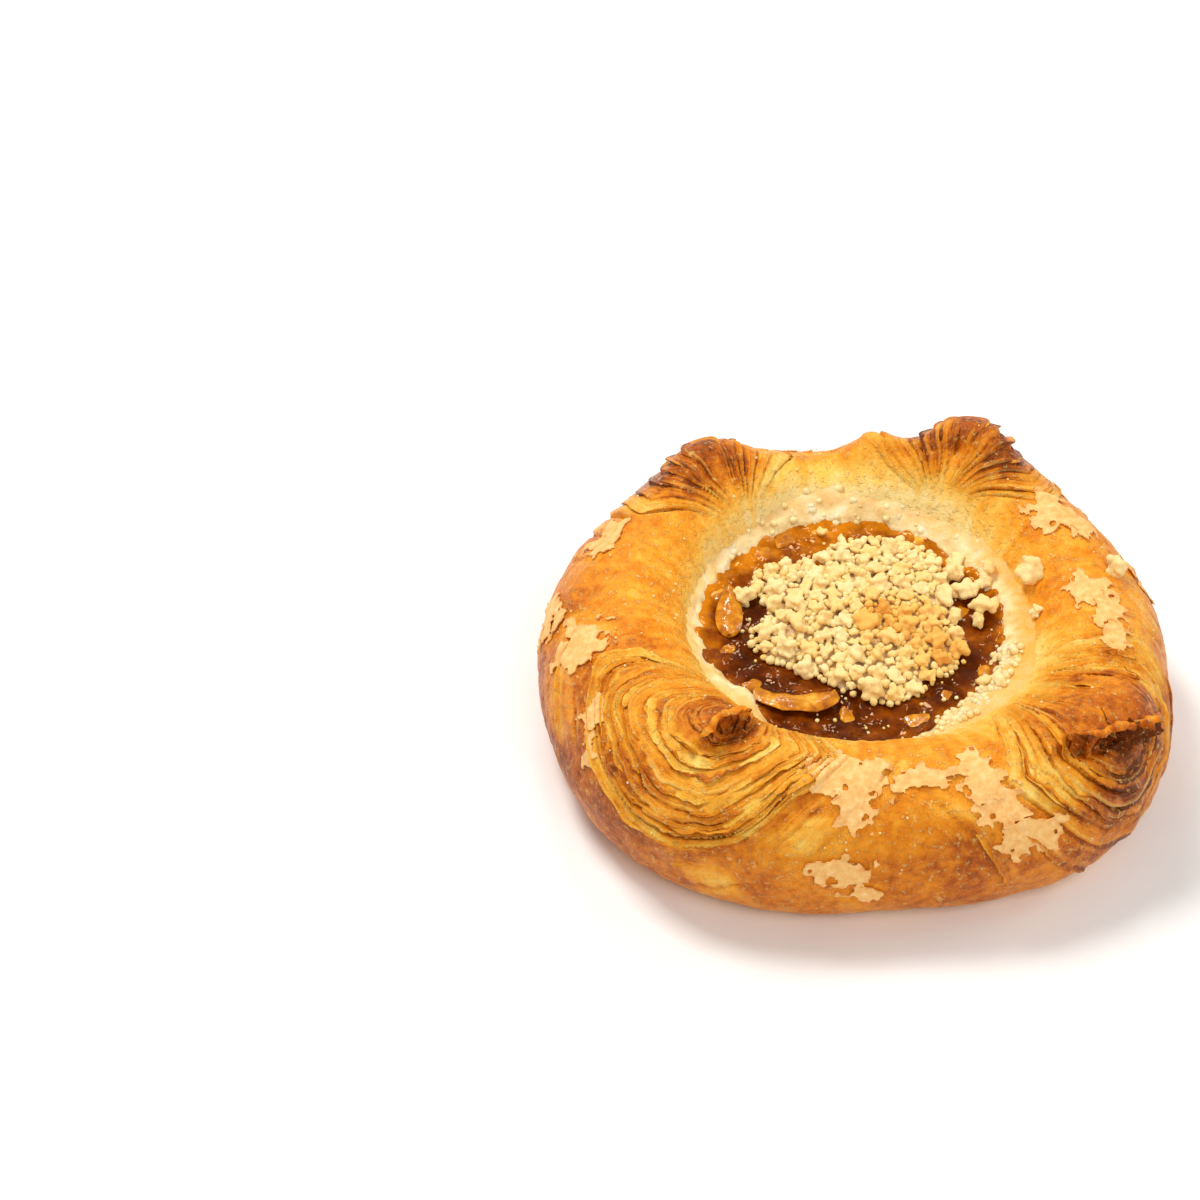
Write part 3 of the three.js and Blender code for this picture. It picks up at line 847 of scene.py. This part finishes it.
def appleCurl():
    curl = apple["curl"]
    deselectAll()
    bpy.ops.mesh.primitive_cylinder_add(vertices=20, radius=1, depth=2, end_fill_type="NGON")
    strip = bpy.context.object
    editAll(strip, bpy.ops.mesh.bisect, plane_co=(0, 0, 0), plane_no=(0, 0, 1))
    applyModifier(strip, "SUBSURF", levels=3, render_levels=3, subdivision_type="SIMPLE")
    points = readPoints(strip)
    share = np.clip((points[:, 2] + 1) / 2, 0, 1)
    angle = math.radians(curl["facing"]) + (share - 0.5) * math.radians(curl["sweep"])
    taper = roundEnds(share, 0.02) * (0.75 + 0.35 * share)
    side = points[:, 0] * curl["thick"] * 2.7 * taper
    rise = points[:, 1] * curl["thick"] * 0.6 * taper + 0.5 * points[:, 0]
    radius = curl["radius"] + side
    x = curl["x"] + radius * np.cos(angle)
    y = curl["y"] + 0.75 * radius * np.sin(angle)
    shape = np.stack([x, y, jamHeight(x, y) + 0.75 + rise], -1)
    shape = shape + 0.12 * noiseAt(shape, 1.6, 82)[:, None]
    movePoints(strip, shape * mm)
    shadeSmooth(strip)
    return strip


def applePetal():
    petal = apple["petal"]
    sheet, u, v = gridSheet(24, 40)
    along, across = (v - 0.5) * 2, (u - 0.5) * 2
    half = 0.5 * petal["wide"] * np.sqrt(np.clip(1 - np.abs(along) ** 1.8, 0.015, 1)) * (1 - 0.25 * along)
    side, length = across * half, along * petal["long"] / 2
    lean = math.radians(petal["lean"] - 90)
    x = petal["x"] + side * math.cos(lean) - length * math.sin(lean)
    y = petal["y"] + side * math.sin(lean) + length * math.cos(lean)
    height = filling["jamLevel"] + 1.0 + 0.9 * (1 - across ** 2) + 0.7 * along
    shape = np.stack([x, y, height], -1)
    shape[:, 2] += 0.2 * noiseAt(shape, 1.8, 83)
    movePoints(sheet, shape * mm)
    applyModifier(sheet, "SOLIDIFY", thickness=petal["thick"] * mm, offset=-1)
    shadeSmooth(sheet, 50)
    return sheet


# The crumble. Sizes are across; spots are crumbs given one by one as x, y, size; kinds are size and knobs;
# toastedSpots are x, y and reach.
crumble = {
    "grain": 0.32,
    "large": {"count": 80, "size": (3.6, 5.6), "close": 0.8, "sink": 0.24,
              "kinds": [(5, 14), (5, 16), (5, 12), (5, 17), (5, 15)]},
    "medium": {"count": 150, "size": (2.5, 3.7), "close": 0.74, "sink": 0.34,
               "kinds": [(3, 6), (3, 8), (3, 5), (3, 7)]},
    "small": {"count": 560, "size": (1.0, 2.1), "close": 0.68, "sink": 0.5},
    "spots": [
        (17.5, 15, 5), (19.6, 9.5, 5.6), (22.6, 5.4, 6), (19, 18, 4.4), (24.5, 14.5, 4.2), (17.4, 3, 4.2),
        (23, 12.2, 4.4), (21.6, 2.4, 4.2), (-13, -5.5, 5), (-10, -9.4, 5),
        (-20.3, 8.2, 5), (0.8, -15.8, 5.6), (20.8, -13, 4.4), (23.6, -14.8, 4.2), (-4.5, -12.5, 5),
        (-5.5, 25, 3.6), (-2, 23.5, 3),
    ],
    "onCase": [
        {"at": 17, "t": 3.43, "size": 6}, {"at": 10, "t": 2.77, "size": 5.4}, {"at": 2, "t": 3.5, "size": 3},
    ],
    "toastedSpots": [(9, -0.5, 7), (15, -6, 4), (3, 2, 3.5)],
}


def knobCluster(size, knobs, seed):
    # knobs kneaded together into one clump, in millimetres
    draw = random.Random(seed)
    grown = [(Vector((0, 0, 0)), 0.24 * size)]
    while len(grown) <= knobs:
        beside, reach = draw.choice(grown)
        radius = size * draw.uniform(0.11, 0.18)
        way = Vector((draw.gauss(0, 1), draw.gauss(0, 1), draw.gauss(0, 0.7))).normalized()
        place = beside + way * 0.8 * (reach + radius)
        apart = min((place - other).length / (radius + wide) for other, wide in grown)
        if apart > 0.66 and place.length + radius < 0.56 * size and abs(place.z) + radius < 0.42 * size:
            grown.append((place, radius))
    balls = []
    for place, radius in grown:
        deselectAll()
        bpy.ops.mesh.primitive_ico_sphere_add(subdivisions=2, radius=radius, location=place)
        balls.append(bpy.context.object)
    clump = joinAll(balls)
    applyModifier(clump, "REMESH", mode="VOXEL", voxel_size=crumble["grain"])
    editAll(clump, bpy.ops.mesh.vertices_smooth, factor=0.5, repeat=1)
    points = readPoints(clump)
    outwards = points / (np.linalg.norm(points, axis=1, keepdims=True) + 0.01)
    dents = rough(points, [(0.07, 1.2, seed), (0.05, 0.6, seed + 1)])
    movePoints(clump, points + outwards * dents[:, None])
    shadeSmooth(clump)
    return clump


def smallCrumb(seed):
    # a cube rounded off by one cut, dented at random
    deselectAll()
    bpy.ops.mesh.primitive_cube_add(size=1)
    crumb = bpy.context.object
    editAll(crumb, bpy.ops.mesh.subdivide, number_cuts=1)
    points = readPoints(crumb)
    points = points / np.linalg.norm(points, axis=1, keepdims=True) * 0.5
    movePoints(crumb, points * (1 + 0.28 * noiseAt(points, 0.45, seed))[:, None])
    shadeSmooth(crumb)
    return crumb


def crumbHeat(x, y, draw):
    heat = draw.uniform(0, 0.3) + (0.2 if draw.random() < 0.07 else 0)
    for spotX, spotY, reach in crumble["toastedSpots"]:
        heat += 0.42 * math.exp(-(((x - spotX) ** 2 + (y - spotY) ** 2) / reach ** 2))
    return min(1, heat)


def layDown(models, spots, draw):
    # copies of the models at the given spots: x, y, z, size
    copies = []
    for x, y, z, size in spots:
        model, modelSize = models[draw.randrange(len(models))]
        copy = copyModel(model, "crumb")
        scale = size / modelSize * mm
        spin = Matrix.Rotation(draw.uniform(0, turn), 4, "Z")
        spin = spin @ Matrix.Rotation(draw.uniform(-0.5, 0.5), 4, "X")
        squash = Matrix.Diagonal((scale * draw.uniform(0.9, 1.15), scale, scale * draw.uniform(0.8, 1), 1))
        copy.matrix_world = Matrix.Translation(Vector((x, y, z)) * mm) @ spin @ squash
        paintPoints(copy, "toast", [crumbHeat(x, y, draw)] * len(copy.data.vertices))
        copies.append(copy)
    for model, modelSize in models:
        bpy.data.objects.remove(model)
    return joinAll(copies)


def placeCrumbs(draw):
    # spots for each kind of crumb, none of them too close to another
    middle = filling["heapMiddle"]
    taken = []
    laid = {"large": [], "medium": [], "small": []}

    def lay(kind, x, y, size, sink):
        taken.append((x, y, size / 2))
        laid[kind].append((x, y, groundAt(x, y) + sink * size, size))

    for x, y, size in crumble["spots"]:
        lay("large" if size > 4.8 else "medium", x, y, size, 0.3)
    for kind in laid:
        rule = crumble[kind]
        made = 0
        for attempt in range(30000):
            if made >= rule["count"]:
                break
            around, share = draw.uniform(0, turn), math.sqrt(draw.random())
            stray = 1.07 if kind == "small" else 1
            reach = heapEdge(np.array([around]))[0] * share * stray
            x, y = middle[0] + reach * math.cos(around), middle[1] + reach * math.sin(around)
            size = draw.uniform(*rule["size"])
            if all(math.hypot(x - a, y - b) > rule["close"] * (size / 2 + r) for a, b, r in taken):
                lay(kind, x, y, size, rule["sink"])
                made += 1
    for spot in crumble["onCase"]:
        x, y, z = onCase(math.radians(spot["at"]), spot["t"], 0.24 * spot["size"])
        laid["large"].append((x, y, z, spot["size"]))
    return laid


def onCase(theta, t, off):
    # a spot that stands off the case
    points, normals = caseSurface(np.array([theta]), np.array([t]))[:2]
    return points[0] + normals[0] * off


def crumbModels(first, count):
    return [(smallCrumb(seed), 1) for seed in range(first, first + count)]


def makeCrumble():
    draw = random.Random(41)
    laid = placeCrumbs(draw)
    pieces = {}
    for kind in ("large", "medium"):
        kinds = enumerate(crumble[kind]["kinds"])
        models = [(knobCluster(size, knobs, 5 + number), size) for number, (size, knobs) in kinds]
        pieces["crumble_" + kind] = layDown(models, laid[kind], draw)
    pieces["crumble_small"] = layDown(crumbModels(90, 6), laid["small"], draw)
    return pieces


def makeCrumbBed():
    # the damp, fine crumb that shows between the clumps
    stops = np.concatenate([np.linspace(0, 1, 44), [1.3, 2]])
    sheet, u, v = gridSheet(200, len(stops) - 1)
    theta = u * turn
    t = np.interp(v, np.linspace(0, 1, len(stops)), stops)
    share = np.where(t <= 1, t, np.where(t < 1.4, 1, 2 - t))
    reach = 0.97 * heapEdge(theta) * share * (1 + 0.05 * np.sin(9 * theta) + 0.04 * np.sin(17 * theta + 1))
    middle = filling["heapMiddle"]
    x, y = middle[0] + reach * np.cos(theta), middle[1] + reach * np.sin(theta)
    top = heapTop(share) + rough(np.stack([x, y, 0 * x], -1), [(0.35, 2.4, 75), (0.25, 1.1, 76)])
    height = np.where(t > 1.01, filling["jamLevel"] - 1.2, top)
    movePoints(sheet, np.stack([x, y, height], -1) * mm)
    closeSeams(sheet)
    editAll(sheet, bpy.ops.mesh.normals_make_consistent, inside=False)
    shadeSmooth(sheet)
    paintPoints(sheet, "toast", [0.15] * len(sheet.data.vertices))
    return sheet


# Grains of curd along the ring, and fine crumb scattered over jam and curd and on the crust.
grains = {
    "curd": 190, "curdSize": (0.7, 1.6), "curdFromJam": (-0.9, 4.4),
    "curdArcs": [(285, 352), (300, 350), (35, 140)],
    "backSink": 0.3, "backGrow": 1.3, "frontLift": 0.02, "frontGrow": 1.15,
    "onJam": 80, "onJamSize": (0.3, 0.9), "onJamReach": 25.5, "onCrust": 170, "onCrustSize": (0.25, 0.55),
}


def makeGrains():
    draw = random.Random(8)
    curdSpots, crumbSpots = [], []
    for k in range(grains["curd"]):
        theta = math.radians(draw.choice([draw.uniform(*arc) for arc in grains["curdArcs"]]))
        radius = jamEdge(np.array([theta]))[0] + draw.uniform(*grains["curdFromJam"])
        z = curdTop(np.array([theta]), np.array([radius]))[0]
        size = draw.uniform(*grains["curdSize"])
        atBack = math.sin(theta) > 0
        z += (-grains["backSink"] if atBack else grains["frontLift"]) * size
        size *= grains["backGrow"] if atBack else grains["frontGrow"]
        curdSpots.append((radius * math.cos(theta), radius * math.sin(theta), z, size))
    for k in range(grains["onJam"]):
        theta, radius = draw.uniform(0, turn), grains["onJamReach"] * math.sqrt(draw.uniform(0.35, 1))
        x, y = radius * math.cos(theta), radius * math.sin(theta)
        size = draw.uniform(*grains["onJamSize"])
        crumbSpots.append((x, y, groundAt(x, y) + 0.25 * size, size))
    for k in range(grains["onCrust"]):
        theta, t = draw.uniform(0, turn), draw.uniform(2.0, 3.5)
        size = draw.uniform(*grains["onCrustSize"])
        crumbSpots.append((*onCase(theta, t, 0.2 * size), size))
    curdModels, fineModels = crumbModels(100, 5), crumbModels(110, 5)
    return layDown(curdModels, curdSpots, draw), layDown(fineModels, crumbSpots, draw)


# Materials

def newMaterial(name):
    material = bpy.data.materials.new(name)
    material.use_nodes = True
    coords = addNode(material, "ShaderNodeTexCoord").outputs["Object"]
    return material, material.node_tree.nodes["Principled BSDF"], coords


def addNode(material, kind, inputs=None, **settings):
    made = material.node_tree.nodes.new(kind)
    for key, value in settings.items():
        setattr(made, key, value)
    for socket, value in (inputs or {}).items():
        feed(material, made.inputs[socket], value)
    return made


def feed(material, socket, value):
    if isinstance(value, bpy.types.NodeSocket):
        material.node_tree.links.new(value, socket)
    else:
        socket.default_value = value


def calc(material, operation, first, second):
    return addNode(material, "ShaderNodeMath", {0: first, 1: second}, operation=operation).outputs[0]


def times(material, first, second):
    return calc(material, "MULTIPLY", first, second)


def plus(material, first, second):
    return calc(material, "ADD", first, second)


def oneLess(material, value):
    return calc(material, "SUBTRACT", 1.0, value)


def vary(material, value, pattern, amount):
    # the value, moved up and down by a pattern that lies round 0.5
    return plus(material, value, times(material, calc(material, "SUBTRACT", pattern, 0.5), amount))


def between(material, low, high, value):
    # 0 below low, 1 above high
    inputs = {"Value": value, "From Min": low, "From Max": high}
    return addNode(material, "ShaderNodeMapRange", inputs, interpolation_type="SMOOTHSTEP").outputs["Result"]


def mix(material, share, first, second):
    made = addNode(material, "ShaderNodeMix", data_type="RGBA", blend_type="MIX")
    for socket, value in zip((0, 6, 7), (share, first, second)):
        feed(material, made.inputs[socket], value)
    return made.outputs[2]


def ramp(material, value, stops):
    made = addNode(material, "ShaderNodeValToRGB", {"Fac": value})
    elements = made.color_ramp.elements
    while len(elements) < len(stops):
        elements.new(0.5)
    for element, (position, colour) in zip(elements, stops):
        element.position = position
        element.color = tint(*colour)
    return made.outputs["Color"]


def noise(material, coords, scale, detail=3.0, roughness=0.55):
    inputs = {"Vector": coords, "Scale": scale, "Detail": detail, "Roughness": roughness}
    return addNode(material, "ShaderNodeTexNoise", inputs).outputs[0]


def attribute(material, name):
    return addNode(material, "ShaderNodeAttribute", attribute_name=name).outputs["Fac"]


def dots(material, coords, scale, size):
    # 1 inside small round dots, 0 outside
    made = addNode(material, "ShaderNodeTexVoronoi", {"Vector": coords, "Scale": scale, "Randomness": 1.0})
    inDot = oneLess(material, between(material, size * 0.5, size, made.outputs["Distance"]))
    split = addNode(material, "ShaderNodeSeparateColor", {"Color": made.outputs["Color"]})
    return times(material, inDot, between(material, 0.55, 0.6, split.outputs[0]))


def setSurface(shader, roughness, specular=0.5, specularTint=(1, 1, 1)):
    shader.inputs["Roughness"].default_value = roughness
    shader.inputs["Specular IOR Level"].default_value = specular
    shader.inputs["Specular Tint"].default_value = (*specularTint, 1)


def letLightIn(shader, weight, radius, depth):
    shader.inputs["Subsurface Weight"].default_value = weight
    shader.inputs["Subsurface Radius"].default_value = radius
    shader.inputs["Subsurface Scale"].default_value = depth * mm


def addBump(material, shader, height, strength, distance):
    inputs = {"Strength": strength, "Distance": distance * mm, "Height": height}
    feed(material, shader.inputs["Normal"], addNode(material, "ShaderNodeBump", inputs).outputs[0])


# Scales of the patterns are in turns per metre.
dough = {
    "bake": [(0.0, (255, 232, 160)), (0.1, (255, 220, 130)), (0.3, (255, 201, 88)), (0.52, (247, 165, 42)),
             (0.7, (226, 130, 14)), (0.85, (182, 86, 6)), (1.0, (108, 44, 4))],
    # Of these, the crevice colour is painted shade for the gaps between layers and the edge colour a painted
    # highlight along the layers' edges.
    "creviceShade": (176, 88, 8), "edge": (255, 206, 110), "blister": (255, 205, 120), "speck": (255, 226, 160),
    "specularTint": (1, 0.72, 0.38),
}


def layerPattern(material, coords, layers):
    # thin streaks that run along the layers
    split = addNode(material, "ShaderNodeSeparateXYZ", {"Vector": coords}).outputs
    run = {"X": times(material, layers, 2.6), "Y": times(material, split["X"], 55.0),
           "Z": times(material, split["Y"], 55.0)}
    return noise(material, addNode(material, "ShaderNodeCombineXYZ", run).outputs[0], 1.6, 4, 0.7)


def doughColour(material, coords, fields, streak, mottle, blister):
    bake, cut, groove, layers, lipBrownAndShade = fields
    baked = vary(material, bake, noise(material, coords, 110, 3), 0.5)
    baked = vary(material, baked, mottle, 0.56)
    baked = vary(material, baked, streak, times(material, cut, 0.8))
    # darker on the lip, which is browned, and in the hollow under it, where the shade is painted
    baked = plus(material, baked, times(material, lipBrownAndShade, 0.45))
    colour = ramp(material, baked, dough["bake"])
    share = calc(material, "FRACT", layers, 0.0)
    # painted shade at both ends of each layer, where the gaps between the layers lie
    atStart = oneLess(material, between(material, 0.02, 0.2, share))
    creviceShade = plus(material, between(material, 0.9, 1.0, share), atStart)
    # painted highlight just before each layer's end, along its raised edge
    beforeEnd = oneLess(material, between(material, 0.8, 0.9, share))
    edge = times(material, between(material, 0.6, 0.78, share), beforeEnd)
    # shade painted into the gaps and highlight painted onto the edges, as strong as the groove is deep
    inCreviceShade = times(material, times(material, creviceShade, groove), 0.6)
    onEdgeHighlight = times(material, times(material, edge, groove), 0.55)
    onBlister = times(material, blister, 0.42)
    onSpeck = times(material, dots(material, coords, 1500, 0.26), 0.22)
    for share, name in ((inCreviceShade, "creviceShade"), (onEdgeHighlight, "edge"), (onBlister, "blister"), (onSpeck, "speck")):
        colour = mix(material, share, colour, tint(*dough[name]))
    return colour


def doughMaterial():
    material, shader, coords = newMaterial("baked dough")
    fields = [attribute(material, name) for name in ("bake", "cut", "groove", "layers", "lipBrownAndShade")]
    cut, layers = fields[1], fields[3]
    streak = layerPattern(material, coords, layers)
    mottle = noise(material, coords, 520, 4, 0.65)
    fine = noise(material, coords, 1300, 4, 0.65)
    blister = between(material, 0.56, 0.66, noise(material, coords, 900, 3, 0.6))
    colour = doughColour(material, coords, fields, streak, mottle, blister)
    feed(material, shader.inputs["Base Color"], colour)
    setSurface(shader, 0.27, 0.36, dough["specularTint"])
    roughness = plus(material, 0.27, times(material, mottle, 0.28))
    roughness = calc(material, "SUBTRACT", roughness, times(material, cut, 0.08))
    feed(material, shader.inputs["Roughness"], roughness)
    letLightIn(shader, 0.12, (1.0, 0.4, 0.12), 1.6)
    height = times(material, times(material, streak, cut), 1.3)
    for pattern, amount in ((mottle, 1.1), (fine, 0.5), (blister, 0.45)):
        height = plus(material, height, times(material, pattern, amount))
    addBump(material, shader, height, 0.8, 0.55)
    return material


def flakeMaterial():
    material, shader, coords = newMaterial("lifted skin")
    mottle = noise(material, coords, 700, 4, 0.65)
    colour = ramp(material, mottle, [(0.3, (236, 166, 82)), (0.55, (248, 194, 114)), (0.75, (255, 218, 152))])
    colour = mix(material, times(material, attribute(material, "rim"), 0.4), colour, tint(214, 142, 62))
    feed(material, shader.inputs["Base Color"], colour)
    setSurface(shader, 0.6)
    addBump(material, shader, mottle, 0.5, 0.25)
    return material


def curdMaterial():
    material, shader, coords = newMaterial("cream curd")
    clump = noise(material, coords, 320, 3)
    colour = ramp(material, clump, [(0.3, (236, 198, 122)), (0.52, (250, 224, 162)), (0.75, (255, 240, 204))])
    colour = mix(material, attribute(material, "warm"), colour, tint(240, 176, 68))
    feed(material, shader.inputs["Base Color"], colour)
    setSurface(shader, 0.42)
    letLightIn(shader, 0.3, (1.0, 0.75, 0.35), 1.2)
    addBump(material, shader, noise(material, coords, 1500, 4, 0.6), 0.6, 0.3)
    return material


jamColours = [(0.34, (56, 18, 1)), (0.48, (82, 29, 1)), (0.62, (132, 60, 2)), (0.8, (206, 122, 10))]


def jamMaterial():
    material, shader, coords = newMaterial("apple jam")
    broad = noise(material, coords, 130, 3, 0.6)
    swirl = noise(material, coords, 360, 4, 0.6)
    depth = plus(material, times(material, broad, 0.6), times(material, swirl, 0.4))
    depth = plus(material, depth, times(material, attribute(material, "thin"), 0.17))
    feed(material, shader.inputs["Base Color"], ramp(material, depth, jamColours))
    setSurface(shader, 0.05, 0.32, (1, 0.62, 0.3))
    ripple = noise(material, coords, 300, 1.5, 0.4)
    ripple = plus(material, ripple, times(material, noise(material, coords, 850, 1, 0.4), 0.1))
    addBump(material, shader, ripple, 0.7, 1.6)
    return material


def appleMaterial():
    material, shader, coords = newMaterial("cooked apple")
    fibre = noise(material, coords, 380, 4, 0.6)
    colour = ramp(material, fibre, [(0.3, (150, 76, 4)), (0.52, (206, 128, 12)), (0.72, (248, 188, 64))])
    feed(material, shader.inputs["Base Color"], colour)
    setSurface(shader, 0.12)
    letLightIn(shader, 0.2, (1.0, 0.5, 0.15), 1.5)
    addBump(material, shader, fibre, 0.5, 0.5)
    return material


crumbColours = {
    "butter crumb": [
        (0.0, (253, 226, 164)), (0.3, (250, 209, 128)), (0.6, (244, 190, 90)), (0.9, (232, 162, 60)),
    ],
    "damp crumb": [
        (0.0, (236, 206, 156)), (0.3, (222, 184, 132)), (0.6, (196, 146, 94)), (0.9, (150, 96, 50)),
    ],
}


def crumbMaterial(name):
    material, shader, coords = newMaterial(name)
    mottle = noise(material, coords, 420, 4, 0.6)
    heat = vary(material, attribute(material, "toast"), mottle, 0.5)
    feed(material, shader.inputs["Base Color"], ramp(material, heat, crumbColours[name]))
    setSurface(shader, 0.72)
    letLightIn(shader, 0.4, (1.0, 0.62, 0.3), 1.2)
    height = plus(material, noise(material, coords, 2400, 4, 0.7), times(material, mottle, 0.6))
    height = plus(material, height, times(material, noise(material, coords, 1100, 2), 1.3))
    addBump(material, shader, height, 0.6, 0.3)
    return material


def floorMaterial():
    material, shader, coords = newMaterial("pale floor")
    colour = ramp(material, noise(material, coords, 30, 2), [(0.3, (246, 245, 243)), (0.7, (250, 249, 248))])
    feed(material, shader.inputs["Base Color"], colour)
    setSurface(shader, 0.8)
    return material


# Studio: the camera stands where the photograph was taken from, and downwards is its slope in degrees.

studio = {
    "floorSize": 3000,
    "world": 0.4,
    "worldColour": (1, 0.99, 0.975, 1),
    "lookAt": (0, 0, 20),
    "lamps": [
        {"name": "window", "place": (-260, 200, 620), "size": 200, "power": 3.15, "colour": (1, 0.985, 0.96)},
        {"name": "front", "place": (160, -480, 600), "size": 420, "power": 1.9, "colour": (1, 0.98, 0.95)},
        {"name": "back", "place": (-70, 620, 640), "size": 130, "power": 0.7, "colour": (1, 0.99, 0.97)},
        {"name": "right", "place": (560, 120, 380), "size": 220, "power": 0.8, "colour": (1, 0.99, 0.97)},
    ],
    "camera": {"lens": 100, "sensor": 36, "place": (-46.14, -423.22, 438.22), "downwards": 44.05},
}


def makeFloor():
    deselectAll()
    bpy.ops.mesh.primitive_grid_add(x_subdivisions=8, y_subdivisions=8, size=studio["floorSize"] * mm)
    floor = bpy.context.object
    floor.name = "floor"
    floor.data.materials.append(floorMaterial())


def makeLight():
    world = bpy.data.worlds.new("studio")
    world.use_nodes = True
    sky = world.node_tree.nodes["Background"]
    sky.inputs["Color"].default_value = studio["worldColour"]
    sky.inputs["Strength"].default_value = studio["world"]
    bpy.context.scene.world = world
    for lamp in studio["lamps"]:
        place, towards = Vector(lamp["place"]) * mm, Vector(studio["lookAt"]) * mm
        bpy.ops.object.light_add(type="AREA", location=place)
        light = bpy.context.object
        light.name = lamp["name"]
        light.data.size = lamp["size"] * mm
        light.data.energy = lamp["power"]
        light.data.color = lamp["colour"]
        light.rotation_euler = (towards - place).to_track_quat("-Z", "Y").to_euler()


def makeCamera():
    view = studio["camera"]
    bpy.ops.object.camera_add(location=Vector(view["place"]) * mm)
    eye = bpy.context.object
    eye.rotation_euler = (math.radians(90 - view["downwards"]), 0, 0)
    eye.data.lens = view["lens"]
    eye.data.sensor_width = view["sensor"]
    eye.data.clip_start = 0.01
    eye.data.clip_end = 20
    bpy.context.scene.camera = eye
    bpy.context.scene.view_settings.view_transform = "Standard"


makeFloor()
makeLight()
makeCamera()
print("studio ready")

doughLook = doughMaterial()
finishPiece(makeCase(), "baked_case", doughLook, "baked_dough", "dough_case")
finishPiece(makeStrips(), "layer_ends", doughLook, "baked_dough")
finishPiece(makeFlaps(), "nub_lips", doughLook, "baked_dough")
finishPiece(makeFlakes(), "crust_flakes", flakeMaterial(), "baked_dough")
print("case ready")

curdLook, appleLook = curdMaterial(), appleMaterial()
finishPiece(makeCurd(), "curd_ring", curdLook, "curd", "curd_lining")
finishPiece(makeJam(), "apple_jam", jamMaterial(), "apple_jam", "jam")
finishPiece(makeBits(), "apple_bits", appleLook, "cooked_apple")
finishPiece(appleCurl(), "apple_curl", appleLook, "cooked_apple", "apple_slice_front")
finishPiece(applePetal(), "apple_petal", appleLook, "cooked_apple", "apple_slice_left")
print("filling ready")

crumbLook = crumbMaterial("butter crumb")
for name, piece in makeCrumble().items():
    finishPiece(piece, name, crumbLook, "butter_crumble", "crumble")
finishPiece(makeCrumbBed(), "crumb_bed", crumbMaterial("damp crumb"), "butter_crumble", "crumble")
curdGrains, fineCrumbs = makeGrains()
finishPiece(curdGrains, "curd_grains", curdLook, "curd")
finishPiece(fineCrumbs, "fine_crumbs", crumbLook, "butter_crumble")
print("crumble ready")
